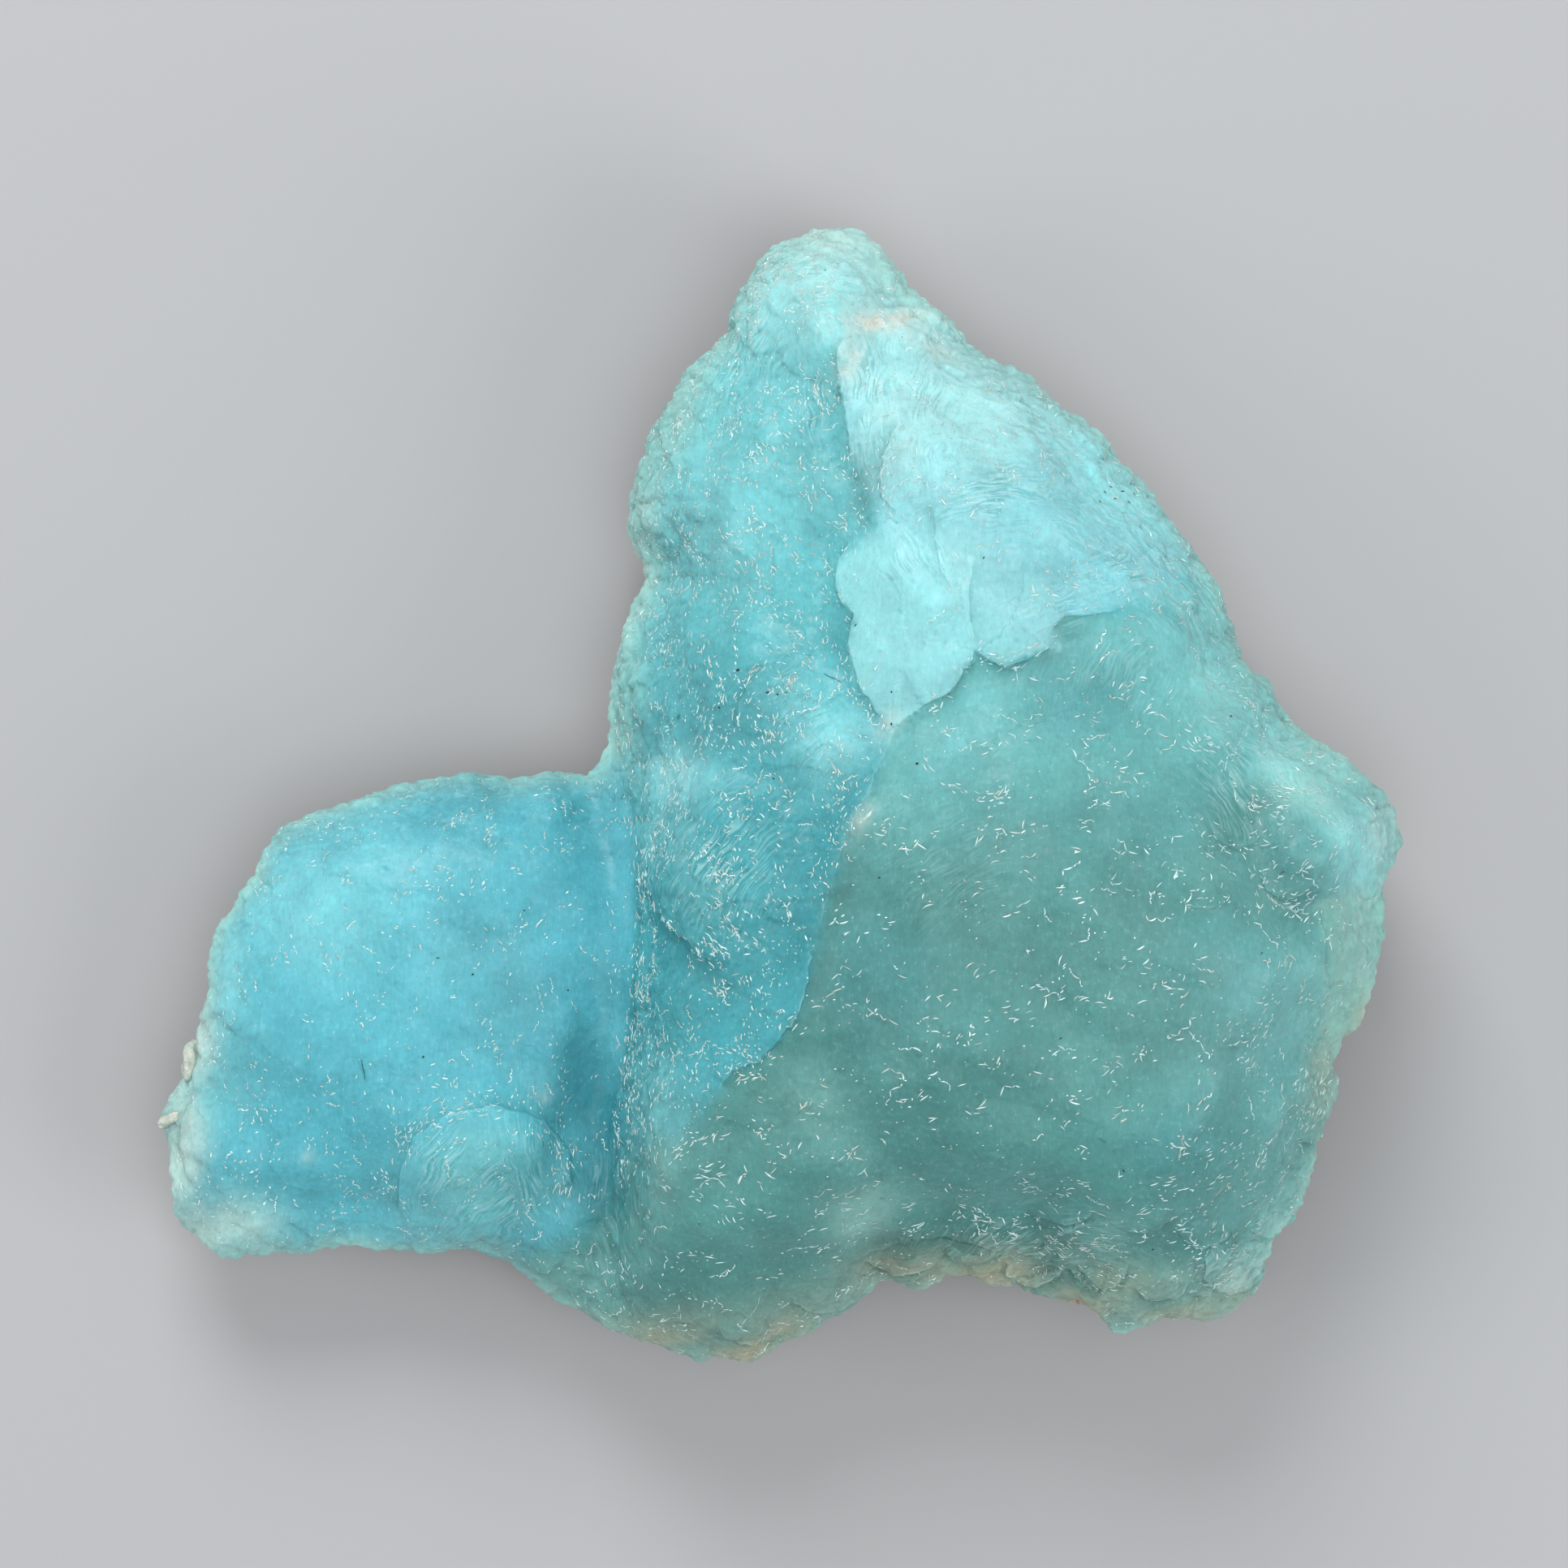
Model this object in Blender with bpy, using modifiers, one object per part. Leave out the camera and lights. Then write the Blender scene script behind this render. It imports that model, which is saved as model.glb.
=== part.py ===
"""Hemimorphite specimen: a plate of blue-green crystal crust, lying on its back.

The crust side faces up. It has a low smooth lobe on the left and a thicker body on the right, with a
steep groove between them, knobs along the rim, and a ridge where the two faces of the body meet.
The underside is the broken face of the plate, with one flat patch on which the stone rests.
"""
import math

import bmesh
import bpy
import numpy
from mathutils import Matrix, Vector, noise

# Driving dimensions, in metres
MM = 0.001
WIDTH = 0.0609
DEPTH = 0.0559
FLOOR_HEIGHT = 0.0

# The rim: its height above the floor and how it rounds, in millimetres like every length below
RIM_MIDDLE = 5.6
RIM_WAVER = 2.4
RIM_WAVER_LENGTH = 11.0
LEAST_SWELL = 0.7
RIM_HALF_THICKNESS = 1.0
LEFT_RIM_REACH = 5.5
BODY_RIM_REACH = 8.0
REACH_CHANGE = (-10.0, -5.0)
RIM_FULLNESS = 0.75
KNOB_RIM_REACH = 1.8

# Working sizes of the sculpted mesh
COARSE_VOXEL = 0.6
FINE_VOXEL = 0.5
SMOOTH_ROUNDS = 2
SMOOTH_FACTOR = 0.5
TRIANGLE_GOAL = 9700
CAP_WELD = 0.01
CUT_MERGE = 0.08
SLIVER_LENGTH = 0.02
CREASE_ANGLE = 50
SEED = 11

# The plate's outline as seen from above, clockwise from the top of the summit knob
OUTLINE = [
    (2.6, 27.9), (4.0, 27.7), (5.2, 26.7), (6.4, 25.0), (7.6, 24.1), (8.8, 23.0), (9.5, 21.9),
    (10.9, 21.2), (12.1, 20.7), (14.1, 18.9), (15.7, 17.9), (16.7, 16.5), (18.0, 15.3), (19.6, 13.1),
    (20.4, 12.1), (21.5, 10.2), (22.3, 8.1), (22.6, 6.7), (23.2, 5.9), (23.9, 5.7), (24.5, 4.5),
    (25.2, 3.5), (26.2, 2.6), (27.6, 1.8), (29.2, 0.5), (30.1, -0.6), (30.4, -2.4), (30.0, -3.7),
    (29.6, -4.3), (29.7, -6.4), (29.3, -8.9), (28.8, -10.1), (28.5, -11.1), (27.6, -12.0),
    (27.1, -12.9), (27.4, -14.3), (26.8, -15.9), (26.3, -17.6), (26.0, -19.2), (25.5, -20.5),
    (24.4, -21.5), (23.8, -22.8), (23.6, -24.3), (22.6, -25.1), (21.1, -25.9), (20.4, -25.6),
    (19.0, -25.5), (16.7, -26.3), (16.0, -25.8), (15.2, -25.0), (12.6, -24.4), (12.0, -23.9),
    (10.5, -24.0), (9.3, -23.5), (8.0, -23.8), (6.8, -24.3), (5.2, -23.5), (4.4, -24.3),
    (3.7, -25.1), (2.7, -25.5), (1.6, -26.3), (0.5, -26.6), (-1.2, -27.9), (-2.6, -27.4),
    (-3.9, -27.7), (-5.8, -27.1), (-7.8, -26.4), (-9.4, -25.5), (-10.8, -24.9), (-12.4, -23.5),
    (-13.8, -22.6), (-14.8, -22.2), (-16.8, -22.5), (-18.8, -22.5), (-20.8, -22.1), (-22.3, -22.1),
    (-23.0, -22.6), (-24.6, -22.5), (-27.5, -22.8), (-28.4, -21.8), (-29.6, -21.0), (-29.9, -19.4),
    (-29.9, -16.8), (-30.4, -15.9), (-29.9, -14.9), (-29.2, -14.1), (-29.2, -12.7), (-28.6, -12.1),
    (-28.2, -10.6), (-27.9, -9.2), (-28.0, -8.0), (-27.6, -6.7), (-26.4, -4.9), (-25.6, -3.9),
    (-25.3, -2.7), (-24.4, -1.7), (-22.6, -0.8), (-20.4, -0.1), (-18.4, 0.5), (-16.4, 0.9),
    (-14.8, 1.1), (-13.2, 0.7), (-10.8, 1.1), (-9.0, 0.9), (-8.3, 2.5), (-8.3, 4.8), (-8.0, 6.4),
    (-7.2, 9.2), (-6.4, 10.7), (-6.8, 11.7), (-7.4, 13.1), (-7.3, 14.6), (-6.4, 17.6), (-5.3, 19.3),
    (-4.4, 21.0), (-2.5, 22.3), (-2.5, 23.5), (-1.7, 24.8), (-0.8, 26.3), (0.8, 27.3),
]

# Broad masses of the crust side: middle x and y, half length and half width, turn in degrees,
# height of the crest, height at which the mass would end, and how flat its top is (2 is round)
MASSES = [
    ("left_lobe", -16.5, -8.5, 14.0, 15.0, 0, 10.8, 3.0, 2.6),
    ("face_dome", 13.0, -7.0, 24.0, 25.0, -20, 18.4, 4.0, 2.3),
    ("left_column", -0.5, -6.0, 8.6, 26.0, -6, 15.6, 3.0, 2.8),
    ("upper_column", 0.0, 13.0, 9.0, 17.0, -12, 13.6, 3.0, 2.4),
    ("upper_right", 9.5, 11.0, 11.5, 19.0, 28, 16.0, 3.0, 2.4),
    ("right_shoulder", 21.5, -2.0, 12.0, 11.0, 0, 13.4, 3.0, 2.4),
]
MASS_BLEND = 0.7

# Knobs and swells on the masses: middle x and y, half length, half width, turn, rise
KNOBS = [
    ("southwest_knob", -14.0, -18.8, 4.6, 4.4, 0, 1.3),
    ("left_rim_a", -26.8, -17.8, 3.0, 3.8, 0, 0.8),
    ("left_rim_b", -25.6, -10.0, 2.8, 3.4, 0, 0.7),
    ("left_rim_c", -23.2, -4.6, 3.2, 2.8, 30, 0.7),
    ("left_low_swell", -22.0, -14.5, 5.4, 4.6, 0, 0.6),
    ("left_high_swell", -16.5, -3.8, 6.0, 3.6, 5, 0.5),
    ("column_top", -2.4, 14.4, 4.8, 6.8, 0, 1.0),
    ("column_rim", -4.8, 14.6, 2.9, 4.4, 0, 1.2),
    ("column_upper", -4.0, 5.0, 4.4, 5.2, 0, 1.0),
    ("round_swirl", 1.0, 4.0, 3.3, 3.3, 0, 1.3),
    ("column_middle", -3.2, -2.6, 4.3, 4.8, 20, 1.6),
    ("column_low", -2.6, -10.6, 4.4, 5.6, 0, 0.9),
    ("column_foot", -5.2, -17.4, 3.6, 4.6, 0, 1.0),
    ("summit", 1.8, 23.6, 4.6, 4.4, 0, 2.8),
    ("summit_side", 6.0, 23.0, 2.8, 2.4, 0, 1.2),
    ("bright_upper", 10.4, 16.2, 6.8, 5.0, -38, 1.2),
    ("bright_left", 6.0, 8.2, 3.6, 5.0, 10, 1.3),
    ("bright_right", 11.2, 9.4, 2.9, 4.0, 8, 1.1),
    ("right_slope", 17.6, 10.2, 4.4, 6.0, 30, 1.0),
    ("right_hip", 20.4, 3.6, 3.8, 4.0, 0, 0.8),
    ("shoulder", 26.6, -1.8, 3.8, 4.2, 0, 2.0),
    ("right_rim_a", 27.4, -7.2, 2.4, 3.0, 0, 1.1),
    ("right_rim_b", 26.6, -10.8, 2.4, 2.2, 0, 0.8),
    ("right_rim_c", 25.2, -14.6, 2.6, 2.6, 0, 1.1),
    ("right_rim_d", 24.4, -18.8, 2.4, 2.4, 0, 0.9),
    ("bottom_a", 22.4, -23.4, 2.6, 2.4, 0, 1.2),
    ("bottom_b", 17.4, -23.8, 2.8, 2.5, 0, 1.2),
    ("bottom_c", 13.2, -22.6, 2.4, 2.2, 0, 1.0),
    ("bottom_d", 9.8, -21.8, 2.6, 2.2, 0, 1.1),
    ("bottom_e", 6.2, -22.6, 2.4, 2.1, 0, 1.0),
    ("bottom_f", 1.8, -24.2, 2.8, 2.4, 0, 1.0),
    ("bottom_g", -2.6, -25.4, 2.8, 2.4, 0, 1.2),
    ("bottom_h", -7.0, -24.4, 3.0, 2.6, 0, 1.2),
    ("bottom_i", -10.6, -21.6, 3.2, 2.8, 0, 1.1),
    ("soft_lobe", 1.6, -19.6, 4.6, 3.8, 0, 1.1),
    ("face_swell_a", 9.0, -1.5, 5.8, 5.2, 20, 0.8),
    ("face_swell_b", 17.5, -6.5, 6.2, 5.8, 0, 0.8),
    ("face_swell_c", 8.0, -11.5, 5.6, 5.0, 0, 0.7),
    ("face_swell_d", 17.0, -16.0, 6.2, 4.8, 10, 0.8),
    ("face_swell_e", 21.8, -11.0, 3.8, 4.6, 0, 0.7),
]
KNOB_FULLNESS = 0.8

# Valleys: depth, half width and a run of points
VALLEYS = [
    ("main_groove", 3.2, 1.7, [(-8.6, 0.6), (-7.2, -1.6), (-6.9, -6.0), (-7.2, -10.4), (-7.9, -13.8),
                               (-8.4, -17.0), (-8.8, -19.6)]),
    ("summit_valley", 0.9, 1.6, [(4.2, 22.0), (2.2, 20.0), (2.8, 16.8), (3.3, 13.4), (2.8, 11.6)]),
    ("under_ledge", 1.0, 1.3, [(-6.0, -6.6), (-4.4, -8.0), (-2.8, -8.6)]),
    ("shoulder_dent", 1.2, 2.2, [(18.4, 4.0), (21.6, -0.8), (24.0, -4.6)]),
    ("bottom_hollow", 1.1, 1.6, [(4.6, -20.8), (8.0, -19.8), (11.6, -20.4)]),
]

# Ledges and ridges: rise, reach on the left and on the right of the run, and the run's points
LEDGES = [
    ("bright_edge", 0.8, 0.5, 4.0, [(16.2, 8.8), (13.7, 8.4), (11.1, 6.1), (9.4, 6.9), (7.6, 4.9),
                                    (5.6, 2.7)]),
    ("face_ridge", 1.0, 5.0, 1.3, [(5.6, 2.7), (4.0, -0.3), (2.6, -4.0), (1.7, -7.2), (1.0, -10.4),
                                   (-1.0, -12.8), (-3.0, -14.3), (-3.8, -14.9)]),
    ("column_ledge", 0.9, 2.5, 0.4, [(-6.8, -3.5), (-5.8, -5.4), (-4.6, -6.9), (-3.8, -7.5)]),
    ("bright_side", 0.7, 2.5, 0.5, [(2.8, 11.2), (3.0, 9.2), (3.6, 8.6), (3.3, 7.2), (3.8, 5.4),
                                    (5.4, 2.7)]),
    ("knob_arc", 0.7, 0.4, 2.5, [(-18.4, -20.0), (-17.8, -18.0), (-16.6, -16.0), (-14.8, -14.9),
                                 (-12.8, -15.1), (-10.2, -18.4)]),
    ("swirl_arc", 0.5, 1.5, 0.3, [(-0.6, 6.4), (-1.6, 5.2), (-1.9, 4.0), (-1.8, 3.0)]),
]

# The underside: lowest at the rest patch, rising to the rim
REST_CENTRE = (4.5, -3.5)
REST_REACH = (28.0, 26.0)
REST_SAG = 0.7
UNDER_FLATNESS = 2.0
LEFT_UNDER_CENTRE = (-16.0, -9.5)
LEFT_UNDER_REACH = (15.0, 14.0)
LEFT_UNDER_LEVEL = 2.0
UNDER_ROUGHNESS = 0.9
UNDER_GRAIN = 5.0
UNDER_OCTAVES = 4

# Round lumps all over the crust side, with creases between them
LUMP_SPACING = 3.2
LUMP_RELIEF = 0.75
LUMP_MIDDLE = 0.45
CRUST_FACING = (0.05, 0.5)

COLLECTION_NAME = "Hemimorphite"
STONE_NAME = "hemimorphite"
CRUST_COLOR = (0.16, 0.47, 0.50, 1.0)
CRUST_ROUGHNESS = 0.42


def clear_scene():
    """Remove whatever the scene holds."""
    for item in list(bpy.data.objects):
        bpy.data.objects.remove(item, do_unlink=True)


def make_collection(name):
    """Return a new collection linked to the scene."""
    collection = bpy.data.collections.new(name)
    bpy.context.scene.collection.children.link(collection)
    return collection


def crust_material():
    """Return the blue-green crust's material."""
    material = bpy.data.materials.new("hemimorphite_crust")
    material.use_nodes = True
    shader = material.node_tree.nodes["Principled BSDF"]
    shader.inputs["Base Color"].default_value = CRUST_COLOR
    shader.inputs["Roughness"].default_value = CRUST_ROUGHNESS
    shader.inputs["Metallic"].default_value = 0.0
    return material


def outline_slab(collection):
    """Return the outline as a flat filled slab of the rim's thickness, turned into a mesh."""
    curve = bpy.data.curves.new("outline", "CURVE")
    curve.dimensions = "2D"
    curve.fill_mode = "BOTH"
    curve.extrude = RIM_HALF_THICKNESS * MM
    spline = curve.splines.new("POLY")
    spline.points.add(len(OUTLINE) - 1)
    for point, (x, y) in zip(spline.points, OUTLINE):
        point.co = (x * MM, y * MM, 0.0, 1.0)
    spline.use_cyclic_u = True
    holder = bpy.data.objects.new("outline", curve)
    collection.objects.link(holder)
    depsgraph = bpy.context.evaluated_depsgraph_get()
    mesh = bpy.data.meshes.new_from_object(holder.evaluated_get(depsgraph))
    bpy.data.objects.remove(holder, do_unlink=True)
    work = bmesh.new()
    work.from_mesh(mesh)
    bmesh.ops.remove_doubles(work, verts=work.verts, dist=CAP_WELD * MM)
    work.to_mesh(mesh)
    work.free()
    slab = bpy.data.objects.new(STONE_NAME, mesh)
    collection.objects.link(slab)
    return slab


def apply_modifiers(item):
    """Replace an object's mesh by its evaluated one and drop its modifiers."""
    depsgraph = bpy.context.evaluated_depsgraph_get()
    mesh = bpy.data.meshes.new_from_object(item.evaluated_get(depsgraph))
    old = item.data
    item.modifiers.clear()
    item.data = mesh
    mesh.name = STONE_NAME
    bpy.data.meshes.remove(old)


def remesh(item, voxel):
    """Rebuild an object's surface on an even grid of voxels."""
    modifier = item.modifiers.new("Remesh", "REMESH")
    modifier.mode = "VOXEL"
    modifier.voxel_size = voxel * MM
    apply_modifiers(item)


def smooth(item, rounds):
    """Relax an object's surface a few times."""
    modifier = item.modifiers.new("Smooth", "SMOOTH")
    modifier.factor = SMOOTH_FACTOR
    modifier.iterations = rounds
    apply_modifiers(item)


def distance_to_line(x, y, points):
    """Return each place's distance to a run of points, and on which side of it the place is."""
    best = numpy.full(x.shape, numpy.inf)
    side = numpy.zeros(x.shape)
    for (ax, ay), (bx, by) in zip(points[:-1], points[1:]):
        dx, dy = bx - ax, by - ay
        along = numpy.clip(((x - ax) * dx + (y - ay) * dy) / (dx * dx + dy * dy), 0.0, 1.0)
        gap = numpy.hypot(x - ax - along * dx, y - ay - along * dy)
        nearer = gap < best
        best = numpy.where(nearer, gap, best)
        side = numpy.where(nearer, numpy.sign((x - ax) * dy - (y - ay) * dx), side)
    return best, side


def ellipse_radius(x, y, middle_x, middle_y, half_x, half_y, turn):
    """Return how far each place is from an ellipse's middle, where 1 is on the ellipse."""
    angle = math.radians(turn)
    along = (x - middle_x) * math.cos(angle) + (y - middle_y) * math.sin(angle)
    across = (y - middle_y) * math.cos(angle) - (x - middle_x) * math.sin(angle)
    return numpy.hypot(along / half_x, across / half_y)


def rounding(gap, reach):
    """Return the share of full height at some distance from the rim."""
    share = numpy.clip(gap / reach, 0.0, 1.0)
    return (1.0 - (1.0 - share) ** 2) ** RIM_FULLNESS


def rim_reach(x):
    """Return how far in from the rim the stone is still rounded: less on the left lobe."""
    left_end, body_start = REACH_CHANGE
    share = numpy.clip((x - left_end) / (body_start - left_end), 0.0, 1.0)
    return LEFT_RIM_REACH + (BODY_RIM_REACH - LEFT_RIM_REACH) * share


def noise_field(x, y, length, octaves):
    """Return smooth noise at each place, with bumps of the given length."""
    return numpy.array([
        noise.fractal(Vector((px / length, py / length, SEED)), 1.0, 2.0, octaves)
        for px, py in zip(x, y)
    ])


def rim_level(x, y):
    """Return the height of the rim's middle, which wavers along the outline."""
    return RIM_MIDDLE + RIM_WAVER * noise_field(x, y, RIM_WAVER_LENGTH, 1)


def masses_height(x, y):
    """Return the height of the broad masses, blended where they meet."""
    total = numpy.zeros(x.shape)
    for _, mx, my, half_x, half_y, turn, crest, foot, flatness in MASSES:
        share = ellipse_radius(x, y, mx, my, half_x, half_y, turn)
        dome = foot + (crest - foot) * numpy.sqrt(numpy.clip(1.0 - share ** flatness, 0.0, 1.0))
        total += numpy.exp(dome / MASS_BLEND)
    return MASS_BLEND * numpy.log(total)


def knobs_height(x, y):
    """Return the rise of the knobs, with a crease where one ends on another."""
    rise = numpy.zeros(x.shape)
    for _, mx, my, half_x, half_y, turn, height in KNOBS:
        share = ellipse_radius(x, y, mx, my, half_x, half_y, turn)
        rise = numpy.maximum(rise, height * numpy.clip(1.0 - share ** 2, 0.0, 1.0) ** KNOB_FULLNESS)
    return rise


def ledges_height(x, y):
    """Return the rise along the ledges and ridges, which fades at its own rate on each side."""
    rise = numpy.zeros(x.shape)
    for _, height, left_reach, right_reach, points in LEDGES:
        gap, side = distance_to_line(x, y, points)
        reach = numpy.where(side > 0, right_reach, left_reach)
        rise = numpy.maximum(rise, height * numpy.exp(-gap / reach))
    return rise


def valleys_depth(x, y):
    """Return how far the valleys sink below the surface."""
    depth = numpy.zeros(x.shape)
    for _, sink, half_width, points in VALLEYS:
        gap, _ = distance_to_line(x, y, points)
        depth = numpy.maximum(depth, sink * numpy.exp(-(gap / half_width) ** 2))
    return depth


def crust_height(x, y, gap, rim_top):
    """Return the height of the crust side at each place, given the distance to the rim."""
    broad = masses_height(x, y) + ledges_height(x, y) - valleys_depth(x, y) - rim_top
    broad = numpy.maximum(broad, LEAST_SWELL)
    return rim_top + broad * rounding(gap, rim_reach(x)) + knobs_height(x, y) * rounding(gap, KNOB_RIM_REACH)


def underside_height(x, y, gap, rim_foot):
    """Return the height of the broken underside at each place, given the distance to the rim."""
    share = ellipse_radius(x, y, *REST_CENTRE, *REST_REACH, 0)
    body = -REST_SAG + (RIM_MIDDLE + REST_SAG) * share ** UNDER_FLATNESS
    share = ellipse_radius(x, y, *LEFT_UNDER_CENTRE, *LEFT_UNDER_REACH, 0)
    left = LEFT_UNDER_LEVEL + (RIM_MIDDLE - LEFT_UNDER_LEVEL) * share ** UNDER_FLATNESS
    level = numpy.minimum(numpy.minimum(body, left), rim_foot)
    level += UNDER_ROUGHNESS * noise_field(x, y, UNDER_GRAIN, UNDER_OCTAVES)
    level = numpy.minimum(level, rim_foot)
    return rim_foot + (level - rim_foot) * rounding(gap, rim_reach(x))


def sculpt(slab):
    """Raise the slab's upper side to the crust's shape and lower its other side to the broken face."""
    mesh = slab.data
    places = numpy.empty(len(mesh.vertices) * 3)
    mesh.vertices.foreach_get("co", places)
    places = places.reshape(-1, 3) / MM
    x, y, level = places[:, 0], places[:, 1], places[:, 2] / RIM_HALF_THICKNESS
    gap, _ = distance_to_line(x, y, OUTLINE + OUTLINE[:1])
    middle = rim_level(x, y)
    upper = crust_height(x, y, gap, middle + RIM_HALF_THICKNESS) - middle
    lower = middle - underside_height(x, y, gap, middle - RIM_HALF_THICKNESS)
    places[:, 2] = middle + level * numpy.where(level > 0, upper, lower)
    mesh.vertices.foreach_set("co", (places * MM).ravel())
    mesh.update()


def raise_lumps(item):
    """Cover the crust side with round lumps, but leave the broken underside as it is."""
    low, high = CRUST_FACING
    crust = item.vertex_groups.new(name="crust")
    for vertex in item.data.vertices:
        weight = min(max((vertex.normal.z - low) / (high - low), 0.0), 1.0)
        crust.add([vertex.index], weight, "REPLACE")
    texture = bpy.data.textures.new("round_lumps", "VORONOI")
    texture.noise_scale = LUMP_SPACING * MM
    modifier = item.modifiers.new("Round lumps", "DISPLACE")
    modifier.texture = texture
    modifier.texture_coords = "LOCAL"
    modifier.vertex_group = crust.name
    modifier.mid_level = LUMP_MIDDLE
    modifier.strength = -LUMP_RELIEF * MM
    apply_modifiers(item)
    item.vertex_groups.clear()


def thin_out(item):
    """Reduce the surface to the wanted number of triangles."""
    mesh = item.data
    mesh.calc_loop_triangles()
    modifier = item.modifiers.new("Decimate", "DECIMATE")
    modifier.ratio = TRIANGLE_GOAL / len(mesh.loop_triangles)
    apply_modifiers(item)


def cut_flat_rest(item, cutters):
    """Cut the lowest part of the underside flat, so that the stone rests on a real face."""
    mesh = bpy.data.meshes.new("floor_cutter")
    block = bmesh.new()
    size = 2 * WIDTH
    bmesh.ops.create_cube(block, size=size, matrix=Matrix.Translation((0, 0, FLOOR_HEIGHT - size / 2)))
    block.to_mesh(mesh)
    block.free()
    cutter = bpy.data.objects.new("floor_cutter", mesh)
    cutter.hide_render = True
    cutter.display_type = "WIRE"
    cutters.objects.link(cutter)
    modifier = item.modifiers.new("Flat rest", "BOOLEAN")
    modifier.operation = "DIFFERENCE"
    modifier.solver = "EXACT"
    modifier.object = cutter
    apply_modifiers(item)


def tidy_mesh(item):
    """Merge the cut's tiny edges, triangulate, and fit the stone to its size about its middle."""
    work = bmesh.new()
    work.from_mesh(item.data)
    bmesh.ops.remove_doubles(work, verts=work.verts, dist=CUT_MERGE * MM)
    bmesh.ops.dissolve_degenerate(work, edges=work.edges, dist=SLIVER_LENGTH * MM)
    bmesh.ops.triangulate(work, faces=work.faces)
    xs = [vertex.co.x for vertex in work.verts]
    ys = [vertex.co.y for vertex in work.verts]
    middle = Vector(((min(xs) + max(xs)) / 2, (min(ys) + max(ys)) / 2, FLOOR_HEIGHT))
    bmesh.ops.translate(work, verts=work.verts, vec=-middle)
    stretch = Vector((WIDTH / (max(xs) - min(xs)), DEPTH / (max(ys) - min(ys)), 1.0))
    bmesh.ops.scale(work, verts=work.verts, vec=stretch)
    bmesh.ops.recalc_face_normals(work, faces=work.faces)
    work.to_mesh(item.data)
    work.free()
    item.data.shade_smooth()
    item.data.set_sharp_from_angle(angle=math.radians(CREASE_ANGLE))


def build():
    """Build the stone."""
    clear_scene()
    parts = make_collection(COLLECTION_NAME)
    cutters = make_collection("Cutters")
    stone = outline_slab(parts)
    remesh(stone, COARSE_VOXEL)
    sculpt(stone)
    remesh(stone, FINE_VOXEL)
    smooth(stone, SMOOTH_ROUNDS)
    raise_lumps(stone)
    thin_out(stone)
    cut_flat_rest(stone, cutters)
    tidy_mesh(stone)
    stone.data.materials.clear()
    stone.data.materials.append(crust_material())


build()
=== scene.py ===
"""Looks for the hemimorphite specimen: crust relief, crystal glints, colour, floor, light and camera.

Places on the stone are given in millimetres from the middle of its footprint, +X to the right and +Y up
in the picture. MM turns them into the metres of the frame.
"""

import math

import bmesh
import bpy
import numpy
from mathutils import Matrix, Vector, noise
from mathutils.bvhtree import BVHTree


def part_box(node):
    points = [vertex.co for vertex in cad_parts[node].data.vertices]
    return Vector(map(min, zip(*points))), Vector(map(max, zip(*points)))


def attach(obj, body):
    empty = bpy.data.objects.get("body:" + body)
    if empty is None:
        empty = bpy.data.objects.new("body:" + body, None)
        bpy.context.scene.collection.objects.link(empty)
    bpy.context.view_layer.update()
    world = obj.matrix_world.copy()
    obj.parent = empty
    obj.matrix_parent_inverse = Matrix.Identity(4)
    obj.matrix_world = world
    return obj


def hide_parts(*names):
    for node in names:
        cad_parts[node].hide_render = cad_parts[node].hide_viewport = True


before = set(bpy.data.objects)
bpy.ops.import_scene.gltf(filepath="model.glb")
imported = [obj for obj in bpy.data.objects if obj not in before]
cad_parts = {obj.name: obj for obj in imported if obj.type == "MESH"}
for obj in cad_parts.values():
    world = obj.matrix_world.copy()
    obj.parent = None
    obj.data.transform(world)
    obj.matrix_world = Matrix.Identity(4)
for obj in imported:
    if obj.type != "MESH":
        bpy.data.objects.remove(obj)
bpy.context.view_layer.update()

MM = 0.001
SEED = 7
STONE_NODE = "hemimorphite"
LOWEST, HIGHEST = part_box(STONE_NODE)
STONE_HEIGHT = (HIGHEST.z - LOWEST.z) / MM

# Resolution of the crust's surface
WELD = 0.001 * MM
SUBDIVISIONS = 1
CRUST_VOXEL = 0.19 * MM
SMOOTH_FACTOR = 0.5
SMOOTH_ROUNDS = 14
CRUST_TRIANGLES = 195000

# Relief of the crust, in millimetres: spacing and rise of its round lumps, knobs and grains
RELIEF = [(2.1, 0.12), (0.95, 0.07), (0.45, 0.035)]
# Overlapping scales, tilted so that their lower edge stands proud: spacing and slope
SCALES = [(1.3, 0.07), (0.6, 0.09)]
SCALE_DOWN = (-0.25, -1.0, 0.0)
# The broken underside: spacing and rise
UNDER_RELIEF = [(3.0, 0.35), (0.9, 0.14)]
# Small scallops along the rim, and shell edges that run round inside it: their spacing, the size and
# reach of their waver, their rise, and how far from the rim they fade
RIM_SCALLOPS = [(0.6, 0.26), (1.3, 0.22)]
SHELL_WIDTH = 1.1
SHELL_WAVER = (2.6, 0.5)
SHELL_STEP = 0.14
SHELL_REACH = (2.7, 4.2)
# Crumpled lumps with creases between them: spacing and rise, and how dark the painted shade in the creases
# is
CRUMPLE = (2.3, 0.42)
CREASE_SHADE = 0.55
# Crisp edges: the step up, the share of it that drops on the low side, how far it fades on both sides, the
# size and reach of its waver, how crisp it is, and the strength and reach of its shade and its light line
EDGE_STEP = 0.13
EDGE_DROP = 0.5
EDGE_STEP_REACH = 1.0
EDGE_DROP_REACH = 0.5
EDGE_WAVER = (0.7, 0.14)
EDGE_CRISP = 0.05
EDGE_SHADE = (0.44, 0.9)
EDGE_LIGHT = (0.26, 0.12)
# What the painted shade beside edges, between combed lines and in pits leaves of the crust's colour
SHADE_LEAVES = (0.30, 0.62, 0.62)
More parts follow.
